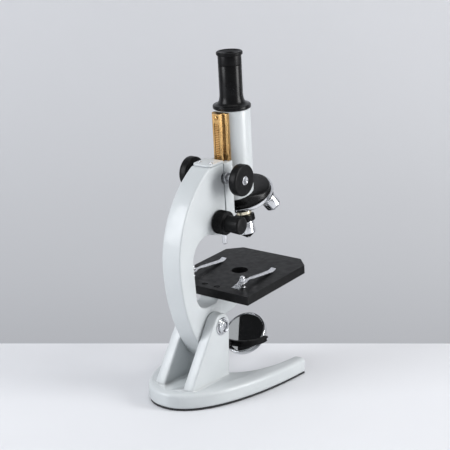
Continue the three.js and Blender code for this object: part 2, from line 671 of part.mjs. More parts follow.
// Takes a body from the optical axis frame into the turret frame.
function intoTurret(body) {
  return body.transform(turretAxis.matrix.clone().invert().elements);
}

// A ring of the housing: centred at (y, z) on the mid-plane, tilted down towards the back.
function housingRing(y, z, radius, tilt, count = 32) {
  const ring = [];
  for (let i = 0; i < count; i += 1) {
    const angle = (i / count) * 2 * Math.PI;
    const along = radius * Math.sin(angle);
    ring.push(new THREE.Vector3(radius * Math.cos(angle), y + along * Math.cos(radians(tilt)),
      z - along * Math.sin(radians(tilt))));
  }
  return ring;
}

// Rings from the turret's rim up to the joint with the tube: a short skirt, then a rounded shoulder.
function housingRings() {
  const up = [Math.sin(radians(TURRET_TILT)), Math.cos(radians(TURRET_TILT))];
  const at = (height) => [height * up[0] - TURRET_FORWARD, TURRET_HEIGHT + height * up[1]];
  const low = at(GAP - RIM_TOP);
  const high = at(GAP - RIM_TOP + HOUSING_SKIRT);
  const waist = HOUSING_RADIUS - 0.5;
  const rings = [housingRing(...low, HOUSING_RADIUS, TURRET_TILT), housingRing(...high, waist, TURRET_TILT)];
  const steps = 8;
  for (let i = 1; i <= steps; i += 1) {
    const angle = (i / steps) * (Math.PI / 2);
    const inward = (1 - Math.cos(angle)) ** 0.8;
    const y = high[0] * (1 - inward);
    const z = high[1] + (HOUSING_TOP - high[1]) * Math.sin(angle);
    const radius = waist + (COLLAR_RADIUS - waist) * inward;
    rings.push(housingRing(y, z, radius, TURRET_TILT + (HOUSING_SLOPE - TURRET_TILT) * inward));
  }
  return rings;
}

const turretBoltRadius = 2.6;
const tubeBore = TUBE_RADIUS - TUBE_WALL;

// Everything below the sloping joint, raised by a clearance.
function belowJoint(raise) {
  const half = box([-60, -60, -90], [60, 60, 0]).rotate([-HOUSING_SLOPE, 0, 0]);
  return moved(half, 0, 0, HOUSING_TOP + raise);
}

function buildHousing() {
  const floor = RIM_TOP - GAP;
  const hollow = turned([[0, -6.6], [14, -6.4], [20, -5.2], [HOUSING_RADIUS - 3, floor],
    [HOUSING_RADIUS - 3, 0], [0, 0]], 20);
  const boss = bar('z', 7, -8, floor, 16);
  let housing = intoTurret(lofted(housingRings())).subtract(hollow).add(boss);
  const spigot = bar('z', tubeBore - GAP, HOUSING_TOP - 2, HOUSING_TOP + 12, 24);
  housing = housing.add(intoTurret(spigot));
  const light = intoTurret(bar('z', 8.6, TURRET_HEIGHT - 30, HOUSING_TOP + 60, 20));
  const thread = bar('z', turretBoltRadius + 0.2, -BOLT_DEPTH - GAP, 2, 12);
  housing = housing.subtract(light).subtract(thread);
  piece('nosepiece_dome', housing, GLOSS_BLACK, turretAxis);
}

function buildTube() {
  const outer = bar('z', TUBE_RADIUS, HOUSING_TOP - 12, TUBE_TOP, 32);
  const inner = bar('z', tubeBore, HOUSING_TOP - 14, TUBE_TOP + 1, 24);
  let tube = outer.subtract(inner).subtract(belowJoint(GAP));
  const seat = box([-SADDLE_HALF_WIDTH - GAP, TUBE_RADIUS - 1.4, HOUSING_TOP - 12],
    [SADDLE_HALF_WIDTH + GAP, TUBE_RADIUS + 9, TUBE_TOP + 1]);
  tube = tube.subtract(seat);
  piece('body_tube', tube, PAINT, bench);
}

function buildSlide() {
  const front = TUBE_RADIUS - 1.4 + GAP;
  const tooth = 1.2;
  let slide = box([-SADDLE_HALF_WIDTH, front, SLIDE_BOTTOM], [SADDLE_HALF_WIDTH, SADDLE_BACK, SLIDE_TOP]);
  slide = slide.add(box([-SLIDE_HALF_WIDTH, SADDLE_BACK - 1, SLIDE_BOTTOM],
    [SLIDE_HALF_WIDTH, SLIDE_BACK, SLIDE_TOP]));
  const rackFront = SLIDE_BACK - 2.6;
  const rackTop = SLIDE_TOP - 10;
  slide = slide.subtract(box([-RACK_HALF_WIDTH - GAP, rackFront - GAP, SLIDE_BOTTOM - 1],
    [RACK_HALF_WIDTH + GAP, SLIDE_BACK + 1, rackTop + GAP]));
  const screwZ = SLIDE_TOP - 4;
  slide = slide.subtract(moved(bar('y', 1.5, SLIDE_BACK - 6, SLIDE_BACK + 2, 14), 0, 0, screwZ));
  piece('dovetail_slide', slide, BRASS, bench);
  const screw = turned([[0, 0], [1.2, 0], [1.2, 5], [2.2, 5], [1.9, 5.9], [0, 6.1]], 10);
  const cut = box([-3, -0.35, 5.5], [3, 0.35, 8]);
  const lying = screw.subtract(cut).rotate([-90, 0, 0]);
  piece('slide_screw', moved(lying, 0, SLIDE_BACK - 4.9, screwZ), BRASS, bench);

  const pitch = (2 * Math.PI * PITCH_RADIUS) / PINION_TEETH;
  const root = SLIDE_BACK - 0.7;
  const points = [[rackFront, SLIDE_BOTTOM], [root, SLIDE_BOTTOM]];
  const below = Math.floor((KNOB_AXIS_Z - SLIDE_BOTTOM) / pitch - 0.5);
  for (let z = KNOB_AXIS_Z - below * pitch; z + pitch / 2 < rackTop; z += pitch) {
    points.push([root, z - pitch * 0.25]);
    points.push([root + tooth, z - pitch * 0.09]);
    points.push([root + tooth, z + pitch * 0.09]);
    points.push([root, z + pitch * 0.25]);
  }
  points.push([root, rackTop]);
  points.push([rackFront, rackTop]);
  piece('rack', sidePlate(shapeOf(points), 2 * RACK_HALF_WIDTH), BRASS, bench);
}

function buildDrawtube() {
  const bottom = TUBE_TOP + GAP;
  const flangeTop = bottom + FLANGE_THICKNESS;
  const bore = EYEPIECE_FIT + RUN;
  const plug = TUBE_RADIUS - TUBE_WALL - GAP;
  const profile = [[bore, bottom - 8], [plug, bottom - 8], [plug, bottom],
    [FLANGE_RADIUS, bottom], [FLANGE_RADIUS, flangeTop - 0.8], [FLANGE_RADIUS - 0.8, flangeTop],
    [FLANGE_RADIUS - 3, flangeTop], [DRAWTUBE_RADIUS + 1.6, flangeTop + 4.6],
    [DRAWTUBE_RADIUS, flangeTop + 9], [DRAWTUBE_RADIUS, DRAWTUBE_TOP], [bore, DRAWTUBE_TOP],
    [bore, bottom - 8]];
  piece('drawtube', turned(profile, 28), GLOSS_BLACK, bench);

  const seat = DRAWTUBE_TOP + GAP;
  const capBottom = EYEPIECE_TOP - CAP_HEIGHT;
  const hollow = EYEPIECE_FIT - 1.2;
  const barrel = [[hollow, seat - 26], [EYEPIECE_FIT, seat - 26], [EYEPIECE_FIT, seat],
    [DRAWTUBE_RADIUS, seat], [DRAWTUBE_RADIUS, capBottom - 0.05], [hollow, capBottom - 0.05],
    [hollow, seat - 26]];
  piece('eyepiece_barrel', turned(barrel, 24), BLACK, bench);
  const cap = [[hollow, capBottom], [CAP_RADIUS - 0.6, capBottom], [CAP_RADIUS, capBottom + 0.6],
    [CAP_RADIUS, EYEPIECE_TOP - 0.8], [CAP_RADIUS - 0.8, EYEPIECE_TOP],
    [CAP_RADIUS - 2.4, EYEPIECE_TOP], [6.4, EYEPIECE_TOP - 1.8], [5, EYEPIECE_TOP - 2.4],
    [5, EYEPIECE_TOP - 3], [hollow, EYEPIECE_TOP - 3], [hollow, capBottom]];
  piece('eyepiece_cap', turned(cap, 28), BLACK, bench);
  const lensRadius = hollow - GAP;
  const eyeTop = EYEPIECE_TOP - 4.6;
  const eyeLens = [[0, eyeTop - 4.4], [lensRadius - 2, eyeTop - 4], [lensRadius, eyeTop - 3.2],
    [lensRadius, eyeTop - 0.6], [0, eyeTop - 0.2]];
  piece('eye_lens', turned(eyeLens, 20), GLASS, bench);
  const fieldLens = [[0, seat - 25], [lensRadius - 2, seat - 24.4], [lensRadius, seat - 23.4],
    [lensRadius, seat - 21.6], [0, seat - 21.4]];
  piece('field_lens', turned(fieldLens, 20), GLASS, bench);
}

// ---------------------------------------------------------------- turret
// Each objective: its quarter of the turret, then lengths from the rim plane and radii.
const OBJECTIVES = [
  { name: 'objective_a', quarter: 0, neckEnd: 10, collarEnd: 17, length: 35, cone: 7, collar: 10.6,
    sleeve: 9, nose: 2.9 },
  { name: 'objective_b', quarter: 1, neckEnd: 5.8, collarEnd: 7.4, length: 22, cone: 2.6, collar: 8.6,
    sleeve: 9.1, nose: 6.2 },
  { name: 'objective_c', quarter: 3, neckEnd: 9, collarEnd: 15.4, length: 30, cone: 6.4, collar: 10.2,
    sleeve: 8.8, nose: 3.8 },
];
const threadRadius = 6.8;
const neckRadius = 8.2;
const objectiveSeat = TURRET_DEPTH + 0.8;

// Puts a body that points down its own +Z onto the objective seat in that quarter.
function onSeat(body, quarter) {
  const angle = -90 - TURRET_TURN - quarter * 90;
  const splayed = body.rotate([0, TURRET_TILT, 0]).translate([seatRadius, 0, 0]);
  return splayed.rotate([0, 0, angle]);
}

function buildTurret() {
  const inside = RIM_RADIUS - 2;
  const rim = [[inside, RIM_TOP], [RIM_RADIUS, RIM_TOP], [RIM_RADIUS, RIM_BOTTOM - 0.8],
    [RIM_RADIUS - 0.8, RIM_BOTTOM], [inside, RIM_BOTTOM], [inside, RIM_TOP]];
  piece('turret_rim', turned(rim, 36), CHROME, turretAxis);
  const edge = inside - GAP;
  let plate = turned([[0, RIM_TOP + GAP], [edge, RIM_TOP + GAP], [edge, RIM_BOTTOM - 0.4],
    [edge - 1.4, RIM_BOTTOM + 0.6], [seatRadius + 3, TURRET_DEPTH - 0.6], [seatRadius, TURRET_DEPTH],
    [0, TURRET_DEPTH]], 28);
  OBJECTIVES.forEach(({ quarter }) => {
    plate = plate.subtract(onSeat(bar('z', threadRadius + RUN, -12, 22, 16), quarter));
    plate = plate.subtract(onSeat(bar('z', neckRadius + 1.4, objectiveSeat - 0.3, 24, 16), quarter));
  });
  plate = plate.subtract(bar('z', turretBoltRadius + RUN, -9, 20, 12));
  piece('turret_plate', plate, BLACK, turretAxis);
  const head = TURRET_DEPTH + GAP;
  const bolt = turned([[0, -BOLT_DEPTH], [turretBoltRadius - 0.1, -BOLT_DEPTH],
    [turretBoltRadius - 0.1, head], [6, head], [6, head + 1.4], [5, head + 2.2], [0, head + 2.2]], 14);
  const slot = box([-7, -0.5, head + 1.2], [7, 0.5, head + 4]);
  piece('turret_bolt', bolt.subtract(slot), CHROME, turretAxis);
}

function buildObjective(objective) {
  const { name, quarter, neckEnd, collarEnd, length, cone, collar, sleeve, nose } = objective;
  const bore = nose - 0.9;
  const body = [[bore, 1], [threadRadius, 1], [threadRadius, objectiveSeat],
    [neckRadius, objectiveSeat], [neckRadius, neckEnd], [collar, neckEnd + 0.4],
    [collar, collarEnd - 0.4], [collar - 0.6, collarEnd], [bore, collarEnd], [bore, 1]];
  piece(`${name}_collar`, onSeat(turned(body, 18), quarter), BLACK, turretAxis);
  const start = collarEnd + 0.1;
  const shoulder = length - cone;
  const tip = [[bore, start], [sleeve, start], [sleeve, shoulder - 0.6], [sleeve - 0.6, shoulder],
    [nose + 1.6, length - 1.4], [nose, length - 1.2], [nose, length], [bore, length], [bore, start]];
  piece(`${name}_sleeve`, onSeat(turned(tip, 18), quarter), CHROME, turretAxis);
  const lens = [[0, length - 2.6], [bore - 0.2, length - 2.6], [bore - 0.2, length - 0.6],
    [0, length - 0.4]];
  piece(`${name}_lens`, onSeat(turned(lens, 12), quarter), GLASS, turretAxis);
}

// ---------------------------------------------------------------- mirror
const gimbal = new THREE.Group();       // origin at the mirror centre
gimbal.position.set(0, -MIRROR_FORWARD, MIRROR_HEIGHT);
bench.add(gimbal);
const yokeInner = MIRROR_RADIUS + 1.4;
const yokeOuter = yokeInner + YOKE_WALL;
const stemStart = yokeOuter - 0.6;

function buildYoke() {
  const half = YOKE_HEIGHT / 2;
  const outer = bar('z', yokeOuter, -half, half, 32);
  const ring = outer.subtract(bar('z', yokeInner, -half - 1, half + 1, 32));
  let yoke = ring.subtract(box([-yokeOuter - 1, -yokeOuter - 1, -half - 1],
    [yokeOuter + 1, -3.2, half + 1]));
  const socketY = AXIS_REACH + MIRROR_FORWARD - 17;
  yoke = yoke.add(bar('y', forkStemRadius, stemStart, socketY - 3, 14));
  yoke = yoke.add(box([-forkStemRadius, socketY - 9.6, -forkStemRadius],
    [forkStemRadius, socketY - 3, forkSocketDrop + forkStemRadius]));
  yoke = yoke.add(moved(bar('y', forkStemRadius, socketY - 9, socketY + 9, 14), 0, 0, forkSocketDrop));
  const pivot = bar('x', 1.5, -yokeOuter - 2, yokeOuter + 2, 16);
  piece('mirror_yoke', yoke.subtract(pivot), BLACK, gimbal);
}

function buildMirror() {
  const half = MIRROR_THICKNESS / 2;
  const lip = MIRROR_RADIUS - 1.6;
  const cell = [[lip, -half], [MIRROR_RADIUS, -half], [MIRROR_RADIUS, half], [lip, half],
    [lip - 0.2, 1], [lip - 3, 1], [lip - 3, -1], [lip - 0.2, -1], [lip, -half]];
  let ring = turned(cell, 28);
  const trunnion = bar('x', 1.2, MIRROR_RADIUS - 1, yokeOuter + 1.2, 16);
  ring = ring.add(trunnion).add(trunnion.mirror([1, 0, 0]));
  const tilted = (body) => body.rotate([-MIRROR_TILT, 0, 0]);
  piece('mirror_cell', tilted(ring), CHROME, gimbal);
  const glass = lip - 0.2 - GAP;
  const flat = [[0, 1.3], [glass, 1.3], [glass, half - 0.9], [0, half - 0.9]];
  piece('mirror_plane', tilted(turned(flat, 28)), MIRROR, gimbal);
  const dished = [[0, -1.3], [glass, -1.3], [glass, 0.9 - half], [glass * 0.6, 1.25 - half],
    [0, 1.4 - half]];
  piece('mirror_concave', tilted(turned(dished, 28)), MIRROR, gimbal);
}

// ---------------------------------------------------------------- assembly
buildBase();
buildHinge();
buildArm();
buildCover();
buildStage();
buildClips();
buildDiaphragm();
buildFocusBlock();
buildCoarseDrive();
buildFineDrive();
buildHousing();
buildTube();
buildSlide();
buildDrawtube();
buildTurret();
OBJECTIVES.forEach(buildObjective);
buildYoke();
buildMirror();

export default microscope;
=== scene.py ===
# %% [markdown]
# A student microscope: white enamelled horseshoe base and C-shaped arm, black square stage, brass slide,
# black draw tube, a tilted three-objective turret and a swinging mirror. Every step below makes one piece or
# one finish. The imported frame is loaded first, because each new piece has to sit where its solid does.

# %% The frame
import math
import bpy
from mathutils import Matrix, Vector


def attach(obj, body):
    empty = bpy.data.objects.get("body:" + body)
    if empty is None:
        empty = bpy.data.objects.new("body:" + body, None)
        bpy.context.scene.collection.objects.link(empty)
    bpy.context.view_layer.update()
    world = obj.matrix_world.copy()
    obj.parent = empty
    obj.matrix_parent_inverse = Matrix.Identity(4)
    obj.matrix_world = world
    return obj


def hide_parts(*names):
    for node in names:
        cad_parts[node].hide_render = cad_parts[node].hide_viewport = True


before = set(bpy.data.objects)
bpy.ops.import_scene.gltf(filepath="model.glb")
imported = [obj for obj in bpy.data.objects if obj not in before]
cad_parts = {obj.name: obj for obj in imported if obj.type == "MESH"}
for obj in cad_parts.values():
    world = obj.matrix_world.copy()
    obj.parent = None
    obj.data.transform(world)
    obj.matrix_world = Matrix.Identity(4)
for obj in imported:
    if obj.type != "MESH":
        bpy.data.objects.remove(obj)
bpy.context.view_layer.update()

# %% [markdown]
# The camera stands behind the near side and looks slightly down, as one looks at a microscope on a bench. The
# long lens keeps the upright tube straight, so the camera is set by a place, an aim and a focal length.

# %% Camera
AIM = Vector((0.0, -0.0382, 0.1716))
EYE = Vector((-0.7783, 1.0082, 0.5232))
bpy.ops.object.select_all(action="DESELECT")
bpy.ops.object.camera_add(location=EYE)
camera = bpy.context.object
camera.rotation_euler = (AIM - EYE).to_track_quat("-Z", "Y").to_euler()
camera.data.sensor_width = 36
camera.data.lens = 102.6
bpy.context.scene.camera = camera
print("camera is", round((AIM - EYE).length, 3), "m from its aim")

# %% [markdown]
# The arm leans back, the turret is tilted under the tube and each objective is splayed again from the turret.
# It is easier to model in the millimetres of each of these tilted places and to set the piece down once at
# the end, so the places are kept as matrices that also turn millimetres into metres.

# %% Places
LEAN = 4.7
REACH = 68.0
TILT = 23.0
TURN = 22.0
TURRET_FORWARD = 17.3
TURRET_HEIGHT = 116.1
JOINT_HEIGHT = 124.0
JOINT_SLOPE = 14.0
QUARTERS = (0, 1, 3)
def shift(x, y, z):
    return Matrix.Translation((x, y, z))
def turn(degrees, axis):
    return Matrix.Rotation(math.radians(degrees), 4, axis)
GROUND = Matrix.Scale(0.001, 4)
BENCH = GROUND @ shift(0, 0, 75) @ turn(-LEAN, "X") @ shift(0, -REACH, 0)
TURRET = BENCH @ shift(0, -TURRET_FORWARD, TURRET_HEIGHT) @ turn(180 - TILT, "X")
SEAT_RADIUS = TURRET_FORWARD / math.cos(math.radians(TILT))
def seat(i):
    return TURRET @ turn(-90 - TURN - 90 * QUARTERS[i], "Z") @ shift(SEAT_RADIUS, 0, 0) @ turn(TILT, "Y")
def sideways(side, x, y, z):
    return BENCH @ shift(side * x, y, z) @ turn(side * 90, "Y")
GIMBAL = BENCH @ shift(0, -4, -41)
SIDES = (("near", -1), ("far", 1))
UP = (BENCH.to_3x3() @ Vector((0, 0, 1))).normalized()
print("optical axis leans along", [round(v, 4) for v in UP])

# %% [markdown]
# A shader formula is easier to read as an expression than as a web of nodes. A wire is one value in the node
# tree: adding two wires or scaling one adds the Math node for it.

# %% Wires
class Wire:
    def __init__(self, finish, socket):
        self.finish, self.socket = finish, socket
    def math(self, operation, first, second):
        return self.finish.add("ShaderNodeMath", {"operation": operation}, {0: first, 1: second})
    def __add__(self, other): return self.math("ADD", self, other)
    def __mul__(self, other): return self.math("MULTIPLY", self, other)

class Finish:
    """A material while it is being built: a principled shader and one way to add any node."""
    def __init__(self, name, color, roughness, **fixed):
        self.material = bpy.data.materials.new(name)
        self.material.use_nodes = True
        self.tree = self.material.node_tree
        self.shader = self.tree.nodes["Principled BSDF"]
        self.put("Base Color", (*color, 1))
        self.put("Roughness", roughness)
        for socket, value in fixed.items():
            self.put(socket.replace("_", " "), value)
        self.place = self.add("ShaderNodeTexCoord", output="Object")
    def put(self, name, value):
        if isinstance(value, Wire):
            self.tree.links.new(value.socket, self.shader.inputs[name])
        else:
            self.shader.inputs[name].default_value = value
    def add(self, kind, settings=None, inputs=None, output=0):
        node = self.tree.nodes.new(kind)
        for key, value in (settings or {}).items():
            setattr(node, key, value)
        for key, value in (inputs or {}).items():
            if isinstance(value, Wire):
                self.tree.links.new(value.socket, node.inputs[key])
            else:
                node.inputs[key].default_value = value
        return Wire(self, node.outputs[output])
    def noise(self, scale, detail=3.0, where=None, roughness=0.5):
        return self.add("ShaderNodeTexNoise", {}, {"Vector": where or self.place, "Scale": scale,
            "Detail": detail, "Roughness": roughness})
    def stretched(self, x, y, z):
        return self.add("ShaderNodeVectorMath", {"operation": "MULTIPLY"}, {0: self.place, 1: (x, y, z)})
    def along(self, axis):
        return self.add("ShaderNodeVectorMath", {"operation": "DOT_PRODUCT"},
            {0: self.place, 1: tuple(axis)}, output="Value")
    def lines(self, axis, per_metre, detail=2.0):
        return self.add("ShaderNodeTexNoise", {"noise_dimensions": "1D"},
            {"W": self.along(axis), "Scale": per_metre, "Detail": detail})
    def ramp(self, value, low, high, bottom=0.0, top=1.0):
        return self.add("ShaderNodeMapRange", {}, {"Value": value, "From Min": low, "From Max": high,
            "To Min": bottom, "To Max": top})
    def blend(self, mask, first, second):
        return self.add("ShaderNodeMix", {"data_type": "RGBA"}, {0: mask, 6: (*first, 1), 7: (*second, 1)},
            output=2)
    def bump(self, height, depth, strength=1.0):
        self.put("Normal", self.add("ShaderNodeBump", {}, {"Height": height, "Distance": depth,
            "Strength": strength}))

# %% [markdown]
# The castings are stove enamelled: a thick pale coat whose surface flows out almost flat, with a faint orange
# peel and slow changes of tone. Three noises do it: a broad one for the tone, a middle one for how evenly it
# shines and a fine one for the peel.

# %% White enamel
def white_enamel():
    f = Finish("white_enamel", (0.8, 0.82, 0.82), 0.35, Coat_Roughness=0.12)
    broad = f.ramp(f.noise(22, 2), 0.35, 0.65)
    f.put("Base Color", f.blend(broad, (0.505, 0.53, 0.54), (0.53, 0.557, 0.565)))
    f.put("Roughness", f.ramp(f.noise(140, 3), 0.3, 0.7, 0.32, 0.46))
    f.put("Coat Weight", f.ramp(f.noise(60, 2), 0.3, 0.7, 0.12, 0.3))
    f.bump(f.noise(520, 3) + f.noise(90, 2) * 0.8, 0.00012, 0.35)
    return f.material
WHITE = white_enamel()
print("made", WHITE.name)

# %% [markdown]
# The stage, the fork and the turret plate are black satin enamel over cast or pressed metal. A fine grain in
# the bump breaks the reflection into a soft sheen, and a second, rarer noise leaves a little dust and
# rubbing.

# %% Black finishes
def black_satin(name, roughness, grain, sheen=0.008):
    f = Finish(name, (0.016, 0.016, 0.018), roughness, Specular_IOR_Level=0.14)
    dust = f.ramp(f.noise(240, 6), 0.56, 0.8)
    f.put("Base Color", f.blend(dust, (0.003, 0.003, 0.0034), (0.005 + sheen, 0.005 + sheen, 0.0055 + sheen)))
    f.put("Roughness", f.ramp(f.noise(150, 4), 0.3, 0.7, roughness - 0.05, roughness + 0.09))
    f.bump(f.noise(grain, 3), 0.00008, 0.4)
    return f.material
BLACK = black_satin("black_stage_enamel", 0.42, 1400)
PLASTIC = black_satin("black_moulding", 0.36, 2200, 0.01)
FORK = black_satin("black_fork_enamel", 0.3, 900)

def black_gloss():
    f = Finish("black_gloss_enamel", (0.009, 0.009, 0.01), 0.14, Coat_Roughness=0.05, Specular_IOR_Level=0.16)
    f.put("Base Color", f.blend(f.ramp(f.noise(70, 4), 0.4, 0.75), (0.002, 0.002, 0.0022),
        (0.004, 0.004, 0.0045)))
    f.put("Roughness", f.ramp(f.noise(110, 4), 0.3, 0.7, 0.25, 0.33))
    f.put("Coat Weight", f.ramp(f.noise(80, 2), 0.3, 0.7, 0.02, 0.08))
    f.bump(f.noise(380, 2), 0.00006, 0.3)
    return f.material
GLOSS = black_gloss()
print("made", [m.name for m in (BLACK, PLASTIC, FORK, GLOSS)])

# %% [markdown]
# Turned and plated parts carry the fine rings of the lathe tool, which run round the piece's own axis. A
# noise of one number, the distance along that axis, gives such rings wherever the axis points.

# %% Metals
def plated(name, axis, color=(0.74, 0.75, 0.77), roughness=0.13, rings=0.00002):
    f = Finish(name, color, roughness, Metallic=1.0)
    dull = tuple(c * 0.86 for c in color)
    f.put("Base Color", f.blend(f.ramp(f.noise(180, 4), 0.35, 0.7), color, dull))
    f.put("Roughness", f.ramp(f.noise(320, 4), 0.3, 0.7, roughness * 0.7, roughness * 1.6))
    f.bump(f.lines(axis, 5200) + f.noise(900, 2) * 0.3, rings, 0.6)
    return f.material
X_AXIS = Vector((1, 0, 0))
TURRET_AXIS = (TURRET.to_3x3() @ Vector((0, 0, 1))).normalized()
CHROME_UP = plated("chrome_upright", UP)
CHROME_SIDE = plated("chrome_cross", X_AXIS)
CHROME_TURRET = plated("chrome_turret", TURRET_AXIS)
CHROME_SEATS = [plated(f"chrome_objective_{i}", (seat(i).to_3x3() @ Vector((0, 0, 1))).normalized())
    for i in range(3)]
GILT = plated("gilt_ring", (seat(0).to_3x3() @ Vector((0, 0, 1))).normalized(), (0.8, 0.73, 0.56), 0.15)
# Ground steel, coloured darker than the bright plate. On the pinion bushes this darker colour is painted
# shade for the shadowed recess they stand in. The fine shaft takes the same finish.
SHADED_STEEL = plated("ground_steel_painted_shade", X_AXIS, (0.52, 0.53, 0.55), 0.28, 0.00004)
CLIP_STEEL = plated("spring_steel", Vector((1, 0, 0)), (0.72, 0.73, 0.75), 0.2, 0.00001)

def brass():
    f = Finish("machined_brass", (0.66, 0.38, 0.1), 0.25, Metallic=1.0)
    tarnish = f.ramp(f.noise(70, 4), 0.45, 0.75)
    f.put("Base Color", f.blend(tarnish, (0.42, 0.265, 0.11), (0.33, 0.2, 0.078)))
    f.put("Roughness", f.ramp(f.noise(200, 3), 0.3, 0.7, 0.2, 0.29))
    drawn = f.noise(1, 3, f.stretched(3200, 3200, 60))
    f.bump(drawn, 0.00001, 0.3)
    return f.material
BRASS = brass()
print("made", [m.name for m in (CHROME_UP, GILT, SHADED_STEEL, BRASS)])

# %% [markdown]
# Glass and silvering are almost perfect surfaces, so what makes them real is a little dust and, on the
# lenses, a coloured coating. The foot pad is plain dull sheet with a coarse grain.

# %% Glass, mirror and pad
def lens_glass():
    f = Finish("coated_lens", (0.05, 0.06, 0.085), 0.04, Specular_IOR_Level=0.9, Coat_Roughness=0.02)
    f.put("Base Color", f.blend(f.ramp(f.noise(60, 2), 0.4, 0.6), (0.035, 0.045, 0.085), (0.06, 0.045, 0.08)))
    f.put("Coat Weight", f.ramp(f.noise(200, 3), 0.3, 0.7, 0.85, 1.0))
    f.put("Roughness", f.ramp(f.noise(700, 5), 0.5, 0.8, 0.03, 0.12))
    return f.material
LENS = lens_glass()

def silvered():
    f = Finish("silvered_glass", (0.88, 0.9, 0.9), 0.02, Metallic=1.0)
    dust = f.ramp(f.noise(520, 6), 0.6, 0.85)
    f.put("Base Color", f.blend(dust, (0.88, 0.9, 0.9), (0.7, 0.71, 0.7)))
    f.put("Roughness", f.ramp(f.noise(300, 5), 0.5, 0.85, 0.015, 0.12))
    return f.material
SILVER = silvered()

def pad_sheet():
    f = Finish("foot_pad", (0.025, 0.025, 0.028), 0.85)
    f.put("Base Color", f.blend(f.ramp(f.noise(900, 4), 0.4, 0.7), (0.02, 0.02, 0.022), (0.05, 0.05, 0.053)))
    f.bump(f.noise(1500, 3), 0.0002, 0.7)
    return f.material
PAD = pad_sheet()
print("made", [m.name for m in (LENS, SILVER, PAD)])

# %% [markdown]
# Most of a microscope is turned on a lathe. A half section is drawn as a line, by extruding one corner along
# it, and the line is spun about the axis. Spinning follows the way the real piece was cut, and the fine bevel
# that comes after gives every edge the thin highlight that machined metal has.

# %% Helpers for turned pieces
def only(obj):
    if bpy.context.mode != "OBJECT":
        bpy.ops.object.mode_set(mode="OBJECT")
    bpy.ops.object.select_all(action="DESELECT")
    obj.select_set(True)
    bpy.context.view_layer.objects.active = obj

def drawn(name, points):
    """A line through points in millimetres, still in edit mode and all selected."""
    if bpy.context.mode != "OBJECT":
        bpy.ops.object.mode_set(mode="OBJECT")
    bpy.ops.object.select_all(action="DESELECT")
    bpy.ops.mesh.primitive_plane_add(size=2)
    obj = bpy.context.object
    obj.name = name
    bpy.ops.object.mode_set(mode="EDIT")
    bpy.ops.mesh.select_mode(type="VERT")
    bpy.ops.mesh.select_all(action="SELECT")
    bpy.ops.mesh.merge(type="CENTER")
    bpy.ops.transform.translate(value=points[0])
    for here, there in zip(points, points[1:]):
        step = Vector(there) - Vector(here)
        bpy.ops.mesh.extrude_vertices_move(TRANSFORM_OT_translate={"value": step})
    bpy.ops.mesh.select_all(action="SELECT")
    return obj

def softened(obj, width, segments=2, angle=30):
    only(obj)
    edge = obj.modifiers.new("edge", "BEVEL")
    edge.width, edge.segments = width, segments
    edge.limit_method, edge.angle_limit = "ANGLE", math.radians(angle)
    bpy.ops.object.modifier_apply(modifier=edge.name)
    return obj

def spun(name, profile, steps=72, edge=0.25, segments=2):
    """A turned piece from [radius, height] pairs, about Z."""
    obj = drawn(name, [(r, 0, z) for r, z in profile])
    bpy.ops.mesh.spin(steps=steps, angle=2 * math.pi, center=(0, 0, 0), axis=(0, 0, 1))
    bpy.ops.mesh.select_all(action="SELECT")
    bpy.ops.mesh.remove_doubles(threshold=0.003)
    bpy.ops.mesh.normals_make_consistent(inside=False)
    bpy.ops.object.mode_set(mode="OBJECT")
    return softened(obj, edge, segments) if edge else obj

def knurled(obj, low, high, depth, margin=0.12):
    """Every side face between two heights is pressed in on its own, which leaves ribs between them."""
    only(obj)
    for face in obj.data.polygons:
        z = face.center.z
        face.select = low < z < high and abs(face.normal.z) < 0.3 and face.area > 1
    for vertex in obj.data.vertices:
        vertex.select = False
    for edge in obj.data.edges:
        edge.select = False
    bpy.ops.object.mode_set(mode="EDIT")
    bpy.ops.mesh.select_mode(type="FACE")
    bpy.ops.mesh.inset(thickness=margin, depth=-depth, use_individual=True)
    bpy.ops.object.mode_set(mode="OBJECT")
    return obj

# %% [markdown]
# Castings and plates are outlines with a thickness. The outline is drawn the same way, filled, and pulled
# out. Slots and bores are cut as in the shop: a cutter of the right shape is taken away with a Boolean
# modifier.

# %% Helpers for castings, plates and cuts
def slab(name, outline, depth):
    """A closed outline of 3-D points pulled out by the vector depth."""
    obj = drawn(name, outline)
    bpy.ops.mesh.edge_face_add()
    bpy.ops.mesh.extrude_region_move(TRANSFORM_OT_translate={"value": depth})
    bpy.ops.mesh.select_all(action="SELECT")
    bpy.ops.mesh.normals_make_consistent(inside=False)
    bpy.ops.object.mode_set(mode="OBJECT")
    return obj

def level(name, outline, low, high):
    return slab(name, [(x, y, low) for x, y in outline], (0, 0, high - low))

def upright(name, outline, half_width):
    return slab(name, [(-half_width, y, z) for y, z in outline], (2 * half_width, 0, 0))

def block(low, high):
    outline = [(low[0], low[1]), (high[0], low[1]), (high[0], high[1]), (low[0], high[1])]
    return level("block", outline, low[2], high[2])

def rod(radius, start, length, axis="Z", sides=48):
    """A plain round cutter or bar from start, along an axis."""
    bpy.ops.object.select_all(action="DESELECT")
    bpy.ops.mesh.primitive_cylinder_add(vertices=sides, radius=radius, depth=length)
    obj = bpy.context.object
    lift = {"X": turn(90, "Y"), "Y": turn(-90, "X"), "Z": Matrix()}[axis]
    return settled(obj, shift(*start) @ lift @ shift(0, 0, length / 2))

def settled(obj, place):
    only(obj)
    obj.matrix_world = place @ obj.matrix_world
    bpy.ops.object.transform_apply(location=True, rotation=True, scale=True)
    return obj

def combined(obj, other, operation):
    only(obj)
    step = obj.modifiers.new("step", "BOOLEAN")
    step.operation, step.object, step.solver = operation, other, "EXACT"
    bpy.ops.object.modifier_apply(modifier=step.name)
    bpy.data.objects.remove(other)
    return obj

def cut(obj, *cutters):
    for cutter in cutters:
        combined(obj, cutter, "DIFFERENCE")
    return obj

def joined(obj, *others):
    for other in others:
        combined(obj, other, "UNION")
    return obj

